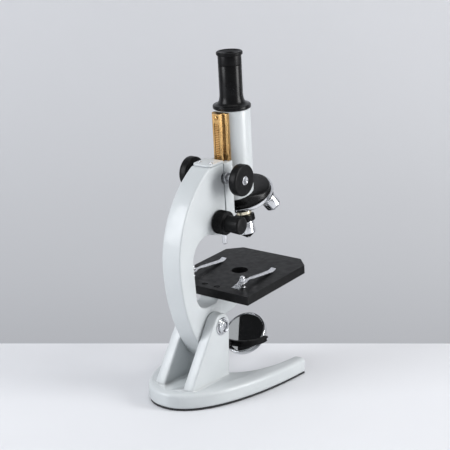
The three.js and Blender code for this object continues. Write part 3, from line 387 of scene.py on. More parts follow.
def arc(centre, radius, start, end, steps):
    angles = [math.radians(start + (end - start) * i / steps) for i in range(steps + 1)]
    return [(centre[0] + radius * math.cos(a), centre[1] + radius * math.sin(a)) for a in angles]

def curve(first, handle, last, steps=8):
    return [tuple((1 - t) ** 2 * a + 2 * t * (1 - t) * b + t * t * c for a, b, c in zip(first, handle, last))
        for t in (i / steps for i in range(1, steps + 1))]

# %% [markdown]
# A finished piece is set down at its place, takes its finish, rides on its body and stands for the plain
# solid.

# %% Helper that finishes a piece
made = []
def finished(obj, place, material, body, slot, *nodes, angle=32):
    settled(obj, place)
    obj.data.materials.clear()
    obj.data.materials.append(material)
    only(obj)
    bpy.ops.object.shade_smooth_by_angle(angle=math.radians(angle))
    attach(obj, body)
    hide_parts(*nodes)
    made.append(obj)
    size = [round(v * 1000, 1) for v in obj.dimensions]
    print(f"{obj.name}: {len(obj.data.polygons)} faces, {size} mm")
    return obj

# %% [markdown]
# The foot is one casting: a horseshoe with its open end to the front, and two ears that carry the tilt hinge.
# The outline is half a superellipse, which is squarer than an ellipse. Its upright corners at the open ends
# are rounded, as a casting's always are, and the ears are joined to it.

# %% Base casting
BASE_TOP, BASE_BOTTOM, BASE_FRONT = 18.4, 1.4, 101.0
EAR_RADIUS, EAR_INNER, EAR_THICKNESS, EAR_BACK, HINGE_HEIGHT = 13.4, 11.9, 12.5, 50.5, 75.0
def horseshoe_arc(half_width, apex, power, steps):
    points = []
    for i in range(steps + 1):
        t = math.pi * i / steps
        c, s = math.cos(t), max(math.sin(t), 0.0)
        points.append((half_width * math.copysign(abs(c) ** (2 / power), c),
            (apex + BASE_FRONT) * s ** (2 / power) - BASE_FRONT))
    return points
outer = horseshoe_arc(64, 69, 2.25, 96)
inner = horseshoe_arc(49.5, 1.4 - EAR_RADIUS, 2.2, 64)[::-1]
base = level("base_casting_piece", outer + inner, BASE_BOTTOM, BASE_TOP)
for edge in base.data.edges:
    ends = [base.data.vertices[v].co for v in edge.vertices]
    edge.select = all(end.y < 0.5 - BASE_FRONT for end in ends) and abs(ends[0].z - ends[1].z) > 10
bpy.ops.object.mode_set(mode="EDIT")
bpy.ops.mesh.select_mode(type="EDGE")
bpy.ops.mesh.bevel(offset=4.5, segments=7)
bpy.ops.object.mode_set(mode="OBJECT")
softened(base, 2.6, 5, 40)
reach = math.hypot(EAR_BACK, HINGE_HEIGHT - BASE_TOP)
swing = math.degrees(math.atan2(BASE_TOP - HINGE_HEIGHT, EAR_BACK) + math.acos(EAR_RADIUS / reach))
ear = [(-EAR_RADIUS, BASE_TOP - 4)] + arc((0, HINGE_HEIGHT), EAR_RADIUS, 180, swing, 28)
ear += [(EAR_BACK, BASE_TOP), (EAR_BACK, BASE_TOP - 4)]
for label, side in SIDES:
    plate = softened(upright("ear", ear, EAR_THICKNESS / 2), 1.9, 4, 40)
    joined(base, settled(plate, shift(side * (EAR_INNER + EAR_THICKNESS / 2), 0, 0)))
cut(base, rod(5.35, (-30, 0, HINGE_HEIGHT), 60, "X"))
finished(base, GROUND, WHITE, "base", "white_paint", "base_casting")

# %% [markdown]
# The hinge is held by a bolt with a dished washer and a slotted round nut on each side. They are turned, and
# the slot is sawn across the nut and the bolt end.

# %% Hinge hardware
EAR_OUTER = EAR_INNER + EAR_THICKNESS
for label, side in SIDES:
    place = GROUND @ shift(side * (EAR_OUTER + 0.05), 0, HINGE_HEIGHT) @ turn(side * 90, "Y")
    washer = spun(f"hinge_washer_{label}_piece", [(5.35, 0), (9.4, 0), (9.4, 0.9), (8.8, 1.5), (7.9, 1.5),
        (7.4, 1.15), (5.35, 1.15), (5.35, 0)], 72, 0.12)
    finished(washer, place, CHROME_SIDE, "base", "chrome", f"hinge_washer_{label}")
    nut = spun(f"hinge_nut_{label}_piece", [(5.35, 0), (7, 0), (7, 2.1), (6.2, 2.9), (5.35, 2.9), (5.35, 0)],
        72, 0.15)
    cut(nut, block((-9, -1, 1.6), (9, 1, 4)))
    finished(nut, place @ shift(0, 0, 1.65), CHROME_SIDE, "base", "chrome", f"hinge_nut_{label}")
bolt = spun("hinge_bolt_piece", [(0, -27.3), (4.2, -27.3), (5, -26.5), (5, 26.5), (4.2, 27.3), (0, 27.3)], 64,
    0.15)
cut(bolt, block((-9, -0.8, 26), (9, 0.8, 29)), block((-9, -0.8, -29), (9, 0.8, -26)))
finished(bolt, GROUND @ shift(0, 0, HINGE_HEIGHT) @ turn(90, "Y"), CHROME_SIDE, "base", "chrome",
    "hinge_bolt")

# %% [markdown]
# The arm is a flat C-shaped casting with generously rounded edges. Its back is two arcs that run into each
# other, so the outline is drawn with many short steps before it is pulled out to its width.

# %% Arm casting
ARM_WIDTH, ARM_TOP, NOSE_FRONT, NOSE_BOTTOM, BRACKET_TOP = 23.2, 166.0, 34.3, 87.5, 25.3
HUB_FRONT, PINION = REACH - 18.5, (32.5, 150.0)
top_angle = math.degrees(math.asin((ARM_TOP - 73) / 105))
tail_angle = -math.degrees(math.asin((73 + 34) / 181.5))
outline = [(NOSE_FRONT, NOSE_BOTTOM), (NOSE_FRONT, ARM_TOP)]
outline += arc((9.5, 73), 105, top_angle, 0, 36) + arc((-67, 73), 181.5, 0, tail_angle, 30)[1:]
outline += curve(outline[-1], (REACH + 5, -43), (REACH - 6, -42), 8)
outline += curve(outline[-1], (HUB_FRONT + 1, -41), (HUB_FRONT, -28), 8)
outline += [(HUB_FRONT, BRACKET_TOP), (HUB_FRONT + 5, BRACKET_TOP)]
outline += curve(outline[-1], (HUB_FRONT + 7, BRACKET_TOP - 5), (REACH - 5, BRACKET_TOP - 5.3), 6)
outline += arc((REACH + 4, BRACKET_TOP + 12.7), 18, -90, -8, 20) + arc((REACH, 73), 24, 0, 97.2, 28)
arm = softened(upright("arm_casting_piece", outline, ARM_WIDTH / 2), 2.9, 5, 40)
web = [(HUB_FRONT + 4, -3), (21.5, 1)] + curve((21.5, 1), (13.5, 3), (13.5, BRACKET_TOP), 10)
web += [(HUB_FRONT + 4, BRACKET_TOP)]
joined(arm, softened(upright("web", web, 7.5), 1.2, 3, 40))
cut(arm, block((-5.35, 33, 80), (5.35, 46.3, 170)), block((-5.35, 45, 98), (5.35, 56.5, 120)),
    rod(7.2, (-20, *PINION), 40, "X"), rod(5.35, (-20, REACH, 0), 40, "X"),
    rod(2.95, (-20, 48.5, 107), 32, "X"), rod(3.65, (0, REACH - 20, -33), 14, "Y"))
for side in (-1, 1):
    cut(arm, rod(1.5, (side * 7, REACH - 18, ARM_TOP - 7), 9), rod(1.5, (side * 8, REACH - 16, 16), 12))
finished(arm, BENCH, WHITE, "arm", "white_paint", "arm_casting")

# %% [markdown]
# A thin plate closes the top of the arm over the slide. It is a plate with two rounded corners, held by two
# small cheese-head screws, and it is painted with the arm.

# %% Cover plate and its screws
half, back = ARM_WIDTH / 2 - 0.2, REACH - 10.6
outline = [(-half, NOSE_FRONT), (half, NOSE_FRONT), (half, back - 5)]
outline += curve((half, back - 5), (half, back), (half - 5, back), 8) + [(5 - half, back)]
outline += curve((5 - half, back), (-half, back), (-half, back - 5), 8)
cover = softened(level("arm_cover_piece", outline, ARM_TOP + 0.3, ARM_TOP + 2.5), 0.55, 3, 40)
for label, side in SIDES:
    cut(cover, rod(1.5, (side * 7, REACH - 18, ARM_TOP - 1), 6))
    screw = spun(f"cover_screw_{label}_piece", [(0, 160), (1.2, 160), (1.2, 168.6), (2.2, 168.6),
        (2.2, 169.1), (1.5, 169.6), (0, 169.7)], 40, 0.08)
    cut(screw, block((-3, -0.3, 169.2), (3, 0.3, 171)))
    finished(screw, BENCH @ shift(side * 7, REACH - 18, 0), CHROME_UP, "arm", "chrome",
        f"cover_screw_{label}")
finished(cover, BENCH, WHITE, "arm", "white_paint", "arm_cover")

# %% [markdown]
# The stage is a thick black plate with its front corners cut off. The opening for the light, the holes for
# the clips and the two countersunk screws are cut through it before its rim is eased, so that each hole gets
# the same small chamfer.

# %% Stage
STAGE_TOP, STAGE_BOTTOM = 35.0, 25.6
STAGE = [(-52.9, 59.5), (-52.9, -46.6), (-38.7, -60.8), (38.7, -60.8), (52.9, -46.6), (52.9, 59.5)]
stage = level("stage_plate_piece", STAGE, STAGE_BOTTOM, STAGE_TOP)
cut(stage, rod(9.1, (0, 0, 20), 20, sides=96), rod(1.5, (0, -13, 20), 11.6))
for side in (-1, 1):
    cut(stage, rod(2.35, (side * 33, 40, 20), 20), rod(1.5, (side * 8, 52, 20), 20))
    cut(stage, settled(spun("sink", [(0, 32.8), (1.5, 32.8), (3.6, 34.6), (3.6, 36), (0, 36)], 48, 0),
        shift(side * 8, 52, 0)))
softened(stage, 0.7, 3, 40)
finished(stage, BENCH, BLACK, "arm", "black_enamel", "stage_plate")
for label, side in SIDES:
    screw = spun(f"stage_screw_{label}_piece", [(0, 18.3), (1.2, 18.3), (1.2, 32.9), (3.2, 34.5), (0, 34.5)],
        48, 0)
    cut(screw, block((-4, -0.4, 33.8), (4, 0.4, 36)))
    finished(screw, BENCH @ shift(side * 8, 52, 0), BLACK, "arm", "black_enamel", f"stage_screw_{label}")

# %% [markdown]
# Each stage clip is a strip of spring steel: a flared tail, a narrow neck and a paddle with its tip turned
# up. An edge is pulled along the strip from station to station and scaled to the width there, which is how
# the strip was shaped, and a Solidify modifier gives it its gauge. It turns on a tall turned post.

# %% Clips and posts
CLIP = [(13, 37.6, 5), (12.6, 37.75, 5), (5, 40.6, 2.9), (3, 40.6, 4.2), (0, 40.6, 4.5), (-3, 40.6, 4.0),
    (-6, 40.6, 2.1), (-12, 40.3, 1.9), (-16, 39.9, 2.6), (-19, 39.55, 3.4), (-24, 38.9, 3.4),
    (-34, 37.6, 3.4), (-44, 36.3, 3.4), (-49.5, 35.65, 3.4), (-52.5, 35.65, 3.4), (-55, 36.4, 3.3),
    (-57, 37.2, 3.1)]
def clip_strip(name):
    first = CLIP[0]
    obj = drawn(name, [(-first[2], first[0], first[1]), (first[2], first[0], first[1])])
    for here, there in zip(CLIP, CLIP[1:]):
        bpy.ops.mesh.extrude_region_move(
            TRANSFORM_OT_translate={"value": (0, there[0] - here[0], there[1] - here[1])})
        bpy.ops.transform.resize(value=(there[2] / here[2], 1, 1), center_override=(0, there[0], there[1]))
    bpy.ops.object.mode_set(mode="OBJECT")
    gauge = obj.modifiers.new("gauge", "SOLIDIFY")
    gauge.thickness, gauge.offset = 0.85, 0
    only(obj)
    bpy.ops.object.modifier_apply(modifier=gauge.name)
    settled(obj, shift(0, 0, 0.45))
    only(obj)
    bpy.ops.object.mode_set(mode="EDIT")
    bpy.ops.mesh.select_all(action="SELECT")
    bpy.ops.mesh.normals_make_consistent(inside=False)
    bpy.ops.object.mode_set(mode="OBJECT")
    cut(obj, rod(2.35, (0, 0, 30), 20))
    return softened(obj, 0.14, 2, 50)
for label, side in SIDES:
    clip = clip_strip(f"clip_{label}_piece")
    finished(clip, BENCH @ shift(side * 33, 40, 0), CLIP_STEEL, f"clip_{label}", "chrome", f"clip_{label}",
        angle=50)
    post = spun(f"clip_post_{label}_piece", [(0, 26), (2, 26), (2, 35.15), (3.1, 35.15), (3.1, 35.9),
        (2.5, 36.4), (2.5, 39.4), (3.1, 40), (3.1, 40.3), (2, 40.3), (2, 41.8), (3.2, 41.8), (3.2, 44.6),
        (2.6, 45.2), (2.2, 45.2), (2.2, 45.9), (2.7, 46.3), (2.5, 47.1), (1.6, 47.7), (0, 47.8)], 48, 0.1)
    knurled(post, 41.9, 44.7, 0.12, 0.06)
    finished(post, BENCH @ shift(side * 33, 40, 0), CHROME_UP, "arm", "chrome", f"clip_post_{label}")

# %% [markdown]
# The focus block slides in the arm's nose and holds the brass slide. Its section is a channel on the front
# and a tongue on the back, so it is one outline pulled up, closed at its foot, then bored across for the
# pinion.

# %% Focus block
section = [(-12.2, 19.9), (-9.75, 19.9), (-9.75, 22.75), (-5.35, 22.75), (-5.35, 28.35), (-3.4, 28.35),
    (-3.4, 30), (3.4, 30), (3.4, 28.35), (5.35, 28.35), (5.35, 22.75), (9.75, 22.75), (9.75, 19.9),
    (12.2, 19.9), (12.2, 33.95), (5, 33.95), (5, 45.95), (-5, 45.95), (-5, 33.95), (-12.2, 33.95)]
guide = joined(level("guide_block_piece", section, 90, 164.95), block((-11, 19.9, 90), (11, 31, 96)))
softened(guide, 0.5, 3, 40)
joined(guide, block((-5, 44, 99.8), (5, 54.7, 114.2)))
cut(guide, rod(6.1, (-6.4, *PINION), 12.8, "X"), rod(3.55, (-20, *PINION), 40, "X"),
    rod(5.75, (-20, 48.5, 107), 40, "X"), block((-20, 48.5, 102.25), (20, 70, 111.75)),
    rod(1.9, (0, 23.9, 89), 6))
finished(guide, BENCH, WHITE, "focus_block", "white_paint", "guide_block")
pin = spun("stop_pin_piece", [(0, 72.8), (1.8, 72.8), (2.7, 73.6), (2.7, 88.6), (2.2, 89.1), (2.2, 89.7),
    (1.6, 89.7), (1.6, 94.6), (0, 94.6)], 48, 0.12)
finished(pin, BENCH @ shift(0, 23.9, 0), CHROME_UP, "focus_block", "steel", "stop_pin")

# %% [markdown]
# The coarse drive is a cross shaft with the pinion cut in its middle and a broad black knob on each end. A
# knob is turned with a plain flat face, and a polished cup screw in the middle holds it.

# %% Coarse drive
teeth = []
for i in range(14):
    for share, radius in ((0.2, 3.45), (0.35, 4.8), (0.65, 4.8), (0.8, 3.45)):
        a = (i + share) / 14 * 2 * math.pi + math.pi
        teeth.append((radius * math.cos(a), radius * math.sin(a)))
shaft = spun("pinion_shaft_piece", [(0, -35.3), (3.2, -35.3), (3.2, 35.3), (0, 35.3)], 56, 0.2)
joined(shaft, softened(level("pinion", [(-x, y) for x, y in teeth], -2.3, 2.3), 0.1, 1, 40))
finished(shaft, BENCH @ shift(0, *PINION) @ turn(90, "Y") @ turn(90, "Z"), CHROME_SIDE, "coarse_drive",
    "steel", "pinion_shaft")
KNOB = [(3.55, -6), (6.4, -6), (6.5, -0.6), (7.2, 0.4), (15.2, 0.4), (16.2, 0.9), (16.6, 1.9), (16.6, 8.1),
    (16.3, 9), (15.5, 9.5), (14.6, 9.6), (5.6, 9.6), (5.2, 9.3), (5.2, 7), (3.55, 7), (3.55, -6)]
for label, side in SIDES:
    # The bush is plated like the shaft, but it takes the darker steel as painted shade for the recess beside
    # the arm.
    bush = spun(f"pinion_bush_{label}_piece", [(3.55, 0), (6, 0), (6, 2.6), (5.2, 3.4), (3.55, 3.4),
        (3.55, 0)], 56, 0.15)
    finished(bush, sideways(side, 12.4, *PINION), SHADED_STEEL, "focus_block", "chrome", f"pinion_bush_{label}")
    knob = spun(f"coarse_knob_{label}_piece", KNOB, 96, 0.3, 3)
    finished(knob, sideways(side, 26.9, *PINION), PLASTIC, "coarse_drive", "black_plastic",
        f"coarse_knob_{label}")
    screw = spun(f"knob_screw_{label}_piece", [(0, 0), (4.8, 0), (4.8, 1.3), (4.3, 1.8), (3.7, 1.8),
        (3.2, 1.2), (3, 0.9), (0, 0.9)], 56, 0.1)
    cut(screw, block((-2.4, -0.4, 0.4), (2.4, 0.4, 3)))
    finished(screw, sideways(side, 35.6, *PINION), CHROME_SIDE, "coarse_drive", "chrome",
        f"knob_screw_{label}")

# %% [markdown]
# The fine focus knobs are stepped: a wide drum next to the arm and a slimmer grip outside. The drum carries
# fine ribs, which are made by pressing in each face of the spun band on its own.

# %% Fine focus knobs
FINE_KNOB = [(2.95, 0), (11.7, 0), (12.5, 0.8), (12.5, 2), (12.5, 10), (12.5, 11), (11.5, 12), (9.2, 12.1),
    (8.5, 12.8), (9.3, 28.2), (9.15, 29.1), (8.5, 29.9), (7.4, 30.35), (0, 30.5), (0, 26.5), (2.95, 26.5),
    (2.95, 0)]
for label, side in SIDES:
    knob = spun(f"fine_knob_{label}_piece", FINE_KNOB, 90, 0.3, 3)
    knurled(knob, 2.2, 9.8, 0.22, 0.14)
    finished(knob, sideways(side, 12.2, 48.5, 107), PLASTIC, "fine_drive", "black_plastic",
        f"fine_knob_{label}")

# %% [markdown]
# The body tube is a plain painted tube. It is spun with its wall, cut on a slope where the turret housing
# takes over below, and cut flat where the brass slide is screwed to its back.

# %% Body tube
INTO_BENCH = BENCH.inverted() @ TURRET
tube = spun("body_tube_piece", [(17.3, 112), (18.9, 112), (18.9, 214.4), (18.3, 215), (17.3, 215),
    (17.3, 112)], 96, 0.2)
below = settled(block((-60, -60, -90), (60, 60, 0)),
    shift(0, 0, JOINT_HEIGHT + 0.3) @ turn(-JOINT_SLOPE, "X"))
cut(tube, below, block((-9.7, 17.5, 112), (9.7, 28, 216)))
finished(tube, BENCH, WHITE, "tube", "white_paint", "body_tube")

# %% [markdown]
# The slide is a drawn brass bar: a broad saddle against the tube and a narrow tongue that runs in the focus
# block, with a rack let into it. Its rack is already right as it is packed and only takes the brass finish.

# %% Brass slide
section = [(-9.4, 17.8), (9.4, 17.8), (9.4, 22.4), (5, 22.4), (5, 28), (2.9, 28), (2.9, 25.1), (-2.9, 25.1),
    (-2.9, 28), (-5, 28), (-5, 22.4), (-9.4, 22.4)]
slide = softened(level("dovetail_slide_piece", section, 120, 214.4), 0.35, 3, 40)
joined(slide, block((-3.1, 24.5, 204.7), (3.1, 28, 214.35)))
cut(slide, rod(1.5, (0, 22, 210.4), 8, "Y"))
finished(slide, BENCH, BRASS, "tube", "brass", "dovetail_slide")
screw = spun("slide_screw_piece", [(0, 0), (1.2, 0), (1.2, 5), (2.2, 5), (2.1, 5.6), (1.5, 6), (0, 6.1)], 40,
    0.08)
cut(screw, block((-3, -0.35, 5.5), (3, 0.35, 8)))
finished(screw, BENCH @ shift(0, 23.1, 210.4) @ turn(-90, "X"), BRASS, "tube", "brass", "slide_screw")

# %% [markdown]
# The draw tube is glossy black, with a flange that flows into the tube through a hollow curve. The eyepiece
# drops into it: a duller black barrel, a wide thin rim and a lens set below the rim.

# %% Draw tube and eyepiece
flare = [(16.6, 219.5), (15.2, 220.4), (14.1, 221.8), (13.2, 223.6), (12.6, 225.8), (12.3, 228.2),
    (12.2, 231)]
draw = spun("drawtube_piece", [(11.75, 207.3), (17, 207.3), (17, 215.3), (19.4, 215.3), (19.9, 215.9),
    (19.9, 218.4), (19.2, 219.2)] + flare + [(12.2, 260.4), (11.75, 260.4), (11.75, 207.3)], 96, 0.2)
finished(draw, BENCH, GLOSS, "tube", "gloss_black", "drawtube")
barrel = spun("eyepiece_barrel_piece", [(10.2, 234.7), (11.4, 234.7), (11.4, 260.7), (11.9, 260.7),
    (12.2, 261), (12.2, 270.75), (10.2, 270.75), (10.2, 234.7)], 96, 0.15)
finished(barrel, BENCH, PLASTIC, "eyepiece", "black_plastic", "eyepiece_barrel")
cap = spun("eyepiece_cap_piece", [(10.2, 270.8), (13, 270.8), (13.5, 271), (13.7, 271.5), (13.7, 273.5),
    (13.1, 274.3), (12.2, 274.4), (11.6, 274), (11.2, 273.6), (8.6, 273.1), (6.2, 272.5), (5, 272),
    (5, 271.4), (10.2, 271.4), (10.2, 270.8)], 96, 0.15, 3)
finished(cap, BENCH, PLASTIC, "eyepiece", "black_plastic", "eyepiece_cap")
lens = spun("eye_lens_piece", [(0, 265.4), (7.9, 265.8), (9.9, 266.6), (9.9, 269.2), (6, 269.7), (0, 269.9)],
    64, 0)
finished(lens, BENCH, LENS, "eyepiece", "lens_glass", "eye_lens")
lens = spun("field_lens_piece", [(0, 235.7), (7.9, 236.3), (9.9, 237.3), (9.9, 239.1), (6, 239.25),
    (0, 239.3)], 64, 0)
finished(lens, BENCH, LENS, "eyepiece", "lens_glass", "field_lens")

# %% [markdown]
# The turret housing is a polished black shoulder that leads from the upright tube to the tilted turret. It
# starts as a disc square to the turret and is extruded ring by ring, and each ring is shifted, scaled and
# tipped a little further towards the sloping joint with the tube. Then it is hollowed and bored for the
# light.

# %% Turret housing
HOUSING_RADIUS, WAIST_RADIUS, COLLAR_RADIUS, STEPS = 28.2, 27.7, 20.0, 20
def up_turret_axis(distance):
    tilt = math.radians(TILT)
    return (distance * math.sin(tilt) - TURRET_FORWARD, TURRET_HEIGHT + distance * math.cos(tilt))
low, high = up_turret_axis(3.5), up_turret_axis(6.5)
rings = [(*low, HOUSING_RADIUS, TILT), (*high, WAIST_RADIUS, TILT)]
for i in range(1, STEPS + 1):
    sweep = i / STEPS * math.pi / 2
    inward = (1 - math.cos(sweep)) ** 0.8
    height = high[1] + (JOINT_HEIGHT - high[1]) * math.sin(sweep)
    radius = WAIST_RADIUS - (WAIST_RADIUS - COLLAR_RADIUS) * inward
    rings.append((high[0] * (1 - inward), height, radius, TILT - (TILT - JOINT_SLOPE) * inward))
bpy.ops.object.select_all(action="DESELECT")
bpy.ops.mesh.primitive_circle_add(vertices=112, radius=HOUSING_RADIUS, fill_type="NGON")
housing = settled(bpy.context.object, shift(0, *low) @ turn(-TILT, "X"))
housing.name = "nosepiece_dome_piece"
only(housing)
bpy.ops.object.mode_set(mode="EDIT")
bpy.ops.mesh.select_all(action="SELECT")
for here, there in zip(rings, rings[1:]):
    centre = (0, there[0], there[1])
    bpy.ops.mesh.extrude_region_move(
        TRANSFORM_OT_translate={"value": (0, there[0] - here[0], there[1] - here[1])})
    bpy.ops.transform.resize(value=(there[2] / here[2],) * 3, center_override=centre)
    bpy.ops.transform.rotate(value=math.radians(there[3] - here[3]), orient_axis="X",
        center_override=centre)
bpy.ops.mesh.select_all(action="SELECT")
bpy.ops.mesh.normals_make_consistent(inside=False)
bpy.ops.object.mode_set(mode="OBJECT")
hollow = spun("hollow", [(0, -6.6), (14, -6.4), (20, -5.2), (25.2, -3.5), (25.2, 0), (0, 0)], 80, 0)
cut(housing, settled(hollow, INTO_BENCH))
joined(housing, settled(rod(7, (0, 0, -8), 4.5), INTO_BENCH), rod(17, (0, 0, 122), 14, sides=96))
cut(housing, rod(8.6, (0, 0, 86), 100, sides=64), settled(rod(2.8, (0, 0, -9.7), 12), INTO_BENCH))
softened(housing, 0.25, 2, 40)
finished(housing, BENCH, GLOSS, "tube", "gloss_black", "nosepiece_dome", angle=25)

# %% [markdown]
# Under it turns the turret: a chrome rim, a black plate almost flush with it and the bolt that holds it. Each
# hole in the plate is cut along its own objective's tilted axis.

# %% Turret rim, plate and bolt
rim = spun("turret_rim_piece", [(28.4, -3.2), (30, -3.2), (30.4, -2.8), (30.4, 0.3), (30.1, 0.9), (29.6, 1.2),
    (28.4, 1.2), (28.4, -3.2)], 144, 0)
finished(softened(rim, 0.12, 2, 50), TURRET, CHROME_TURRET, "turret", "chrome", "turret_rim")
plate = spun("turret_plate_piece", [(0, -2.9), (28.1, -2.9), (28.1, 0.8), (26.7, 1.8), (21.79, 4),
    (18.79, 4.6), (0, 4.6)], 96, 0)
for i in range(3):
    into = TURRET.inverted() @ seat(i)
    cut(plate, settled(rod(7.15, (0, 0, -12), 34), into), settled(rod(9.6, (0, 0, 5.1), 19), into))
cut(plate, rod(2.95, (0, 0, -9), 29))
finished(softened(plate, 0.2, 2, 40), TURRET, GLOSS, "turret", "black_enamel", "turret_plate")
bolt = spun("turret_bolt_piece", [(0, -9.4), (2.5, -9.4), (2.5, 4.9), (6, 4.9), (6, 6.2), (5, 7), (0, 7.1)],
    56, 0.15)
cut(bolt, block((-7, -0.5, 6.1), (7, 0.5, 9)))
finished(bolt, TURRET, CHROME_TURRET, "turret", "chrome", "turret_bolt")

# %% [markdown]
# The three objectives share a pattern: a plated neck ring, gilt on the first, a black ribbed collar that
# screws into the plate and a plated barrel that narrows to the front lens. They differ in length and width,
# so one set of sizes makes all three.

# %% Objectives
OBJECTIVES = (("a", 10, 17, 35, 4.6, 10.6, 9, 2.9), ("b", 5.8, 7.4, 22, 2.6, 8.6, 9.1, 6.2),
    ("c", 9, 15.4, 30, 6.4, 10.2, 8.8, 3.8))
for i, (label, neck, top, length, taper, collar, sleeve, nose) in enumerate(OBJECTIVES):
    bore, cone = nose - 0.9, length - taper
    ring = spun(f"objective_{label}_collar_piece", [(bore, 1), (6.8, 1), (6.8, neck), (collar - 0.4, neck),
        (collar, neck + 0.4), (collar, top - 0.5), (sleeve - 0.6, top), (bore, top), (bore, 1)], 64, 0.15)
    knurled(ring, neck + 0.5, top - 0.6, 0.2, 0.1)
    finished(ring, seat(i), PLASTIC, "turret", "black_plastic", f"objective_{label}_collar")
    band = spun(f"objective_{label}_neck_piece", [(6.85, 5.4), (8, 5.4), (8.2, 5.6), (8.2, neck - 0.25),
        (8.1, neck - 0.05), (6.85, neck - 0.05), (6.85, 5.4)], 80, 0)
    finished(band, seat(i), GILT if i == 0 else CHROME_SEATS[i], "turret", "chrome",
        f"objective_{label}_collar")
    steps = [(bore, top + 0.1), (sleeve, top + 0.1), (sleeve, top + 1.2), (sleeve - 0.25, top + 1.4),
        (sleeve - 0.25, top + 1.8), (sleeve, top + 2), (sleeve, cone - 0.6), (sleeve - 0.6, cone),
        (nose + 1.6, length - 1.4), (nose + 0.4, length - 1.2), (nose, length - 0.6), (nose - 0.3, length),
        (bore, length), (bore, top + 0.1)]
    tip = spun(f"objective_{label}_sleeve_piece", steps, 80, 0.12)
    finished(tip, seat(i), CHROME_SEATS[i], "turret", "chrome", f"objective_{label}_sleeve")
    glass = spun(f"objective_{label}_lens_piece", [(0, length - 2.6), (bore - 0.2, length - 2.6),
        (bore - 0.2, length - 0.8), (bore * 0.6, length - 0.5), (0, length - 0.4)], 48, 0)
    finished(glass, seat(i), LENS, "turret", "lens_glass", f"objective_{label}_lens")

# %% [markdown]
# The mirror hangs in a half-round black fork on a stem under the stage. The fork is spun as a whole ring, cut
# in half with bisect and rounded at its ends, and its stem steps up to the socket in the arm.

# %% Mirror fork
fork = spun("mirror_yoke_piece", [(26.4, -3.2), (28.8, -3.2), (28.8, 3.2), (26.4, 3.2), (26.4, -3.2)], 96, 0)
only(fork)
bpy.ops.object.mode_set(mode="EDIT")
bpy.ops.mesh.select_all(action="SELECT")
bpy.ops.mesh.bisect(plane_co=(0, 0, 0), plane_no=(0, 1, 0), clear_inner=True, use_fill=True)
bpy.ops.object.mode_set(mode="OBJECT")
for side in (-1, 1):
    joined(fork, rod(3.19, (side * 27.6 - 1.19, 0, 0), 2.38, "X"))
joined(fork, rod(3.25, (0, 28, 0), 24, "Y"), block((-3.3, 45.4, -3.3), (3.3, 52, 11.3)),
    rod(3.3, (0, 46, 8), 18, "Y"))
cut(fork, rod(1.5, (-31, 0, 0), 62, "X"))
finished(softened(fork, 0.45, 3, 40), GIMBAL, FORK, "mirror_fork", "black_enamel", "mirror_yoke")

# %% [markdown]
# The mirror cell is a thin spun ring with a rolled lip on both faces, one flat glass and one dished glass in
# it. Two small trunnions carry it in the fork, and it is set down already tilted.

# %% Mirror
MIRROR = GIMBAL @ turn(-40, "X")
cell = spun("mirror_cell_piece", [(23.4, -3.2), (24.4, -3.2), (25, -2.6), (25, 2.6), (24.4, 3.2), (23.4, 3.2),
    (23.2, 1), (20.4, 1), (20.4, -1), (23.2, -1), (23.4, -3.2)], 96, 0.15)
joined(cell, rod(1.2, (24, 0, 0), 6, "X"), rod(1.2, (-30, 0, 0), 6, "X"))
finished(cell, MIRROR, CHROME_TURRET, "mirror", "chrome", "mirror_cell")
flat = spun("mirror_plane_piece", [(0, 1.3), (22.9, 1.3), (22.9, 2.1), (22.6, 2.3), (0, 2.3)], 96, 0)
finished(flat, MIRROR, SILVER, "mirror", "mirror_glass", "mirror_plane")
dish = spun("mirror_concave_piece", [(0, -1.3), (22.9, -1.3), (22.9, -2.3), (18, -2.15), (13, -2.0),
    (7, -1.88), (0, -1.8)], 96, 0)
finished(dish, MIRROR, SILVER, "mirror", "mirror_glass", "mirror_concave")

# %% [markdown]
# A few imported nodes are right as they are, because they are flat, tiny or hidden. They keep their own mesh
# and only take a finish of the same kind as their neighbours.

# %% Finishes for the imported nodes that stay
KEPT = {"base_pad": PAD, "rack": BRASS, "diaphragm_disc": BLACK, "diaphragm_screw": CHROME_UP,
    "fine_shaft": SHADED_STEEL}
for name, material in KEPT.items():
    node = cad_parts[name]
    node.data.materials.clear()
    node.data.materials.append(material)
print("kept", sorted(KEPT))

# %% [markdown]
# The microscope stands on a plain pale table. A greyer wall stands behind the table's far edge as a quiet
# backdrop.

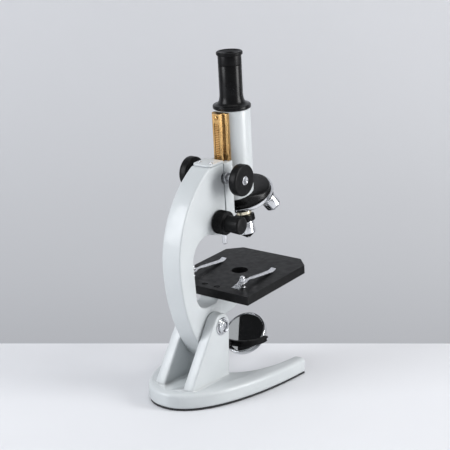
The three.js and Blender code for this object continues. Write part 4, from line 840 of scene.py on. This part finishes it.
# %% Table and backdrop
def pale(name, low, high, scale):
    f = Finish(name, low, 0.55)
    f.put("Base Color", f.blend(f.ramp(f.noise(scale, 3), 0.3, 0.7), low, high))
    f.bump(f.noise(60, 3), 0.0002, 0.1)
    return f.material
look = Vector((AIM.x - EYE.x, AIM.y - EYE.y, 0)).normalized()
edge = Vector((EYE.x, EYE.y, 0)) + look * 1.41
across = math.atan2(look.y, look.x)
def sheet(name, place, length, width, material):
    bpy.ops.object.select_all(action="DESELECT")
    bpy.ops.mesh.primitive_plane_add(size=1)
    obj = bpy.context.object
    obj.name = name
    facing = shift(edge.x, edge.y, 0) @ Matrix.Rotation(across, 4, "Z")
    settled(obj, facing @ place @ Matrix.Diagonal((length, width, 1, 1)))
    obj.data.materials.append(material)
    return obj
sheet("table", shift(-2.5, 0, -0.0002), 5, 9, pale("pale_table", (0.7, 0.705, 0.725), (0.74, 0.745, 0.765),
    3))
sheet("backdrop", shift(0.6, 0, 1.6) @ turn(90, "Y"), 5, 9, pale("grey_wall", (0.5, 0.505, 0.525),
    (0.54, 0.545, 0.565), 1))

# %% [markdown]
# Two large soft lights stand left and right of the camera, and a weaker one hangs above. On the round black
# tube they show as a broad dim band on the left and a narrower, brighter one on the right.

# %% Lights
def softbox(name, direction, distance, height, size, power, color=(1, 1, 1)):
    bpy.ops.object.select_all(action="DESELECT")
    where = AIM + Vector((direction[0], direction[1], 0)).normalized() * distance
    where.z = height
    bpy.ops.object.light_add(type="AREA", location=where)
    lamp = bpy.context.object
    lamp.name = name
    lamp.rotation_euler = (AIM - where).to_track_quat("-Z", "Y").to_euler()
    lamp.data.shape, lamp.data.size, lamp.data.size_y = "RECTANGLE", size[0], size[1]
    lamp.data.energy, lamp.data.color = power, color
    return lamp
softbox("left_light", (0.5, 0.82), 1.7, 0.75, (0.8, 1.2), 25, (0.95, 0.97, 1))
softbox("right_light", (-0.9, -0.34), 1.5, 0.6, (0.6, 1.2), 23)
softbox("top_light", (-0.1, 0.1), 0.1, 1.7, (1.2, 1.2), 6)
world = bpy.data.worlds.new("room")
bpy.context.scene.world = world
world.use_nodes = True
world.node_tree.nodes["Background"].inputs[0].default_value = (0.78, 0.8, 0.83, 1)
world.node_tree.nodes["Background"].inputs[1].default_value = 0.5
bpy.context.scene.view_settings.view_transform = "Standard"
print(len(made), "pieces made")
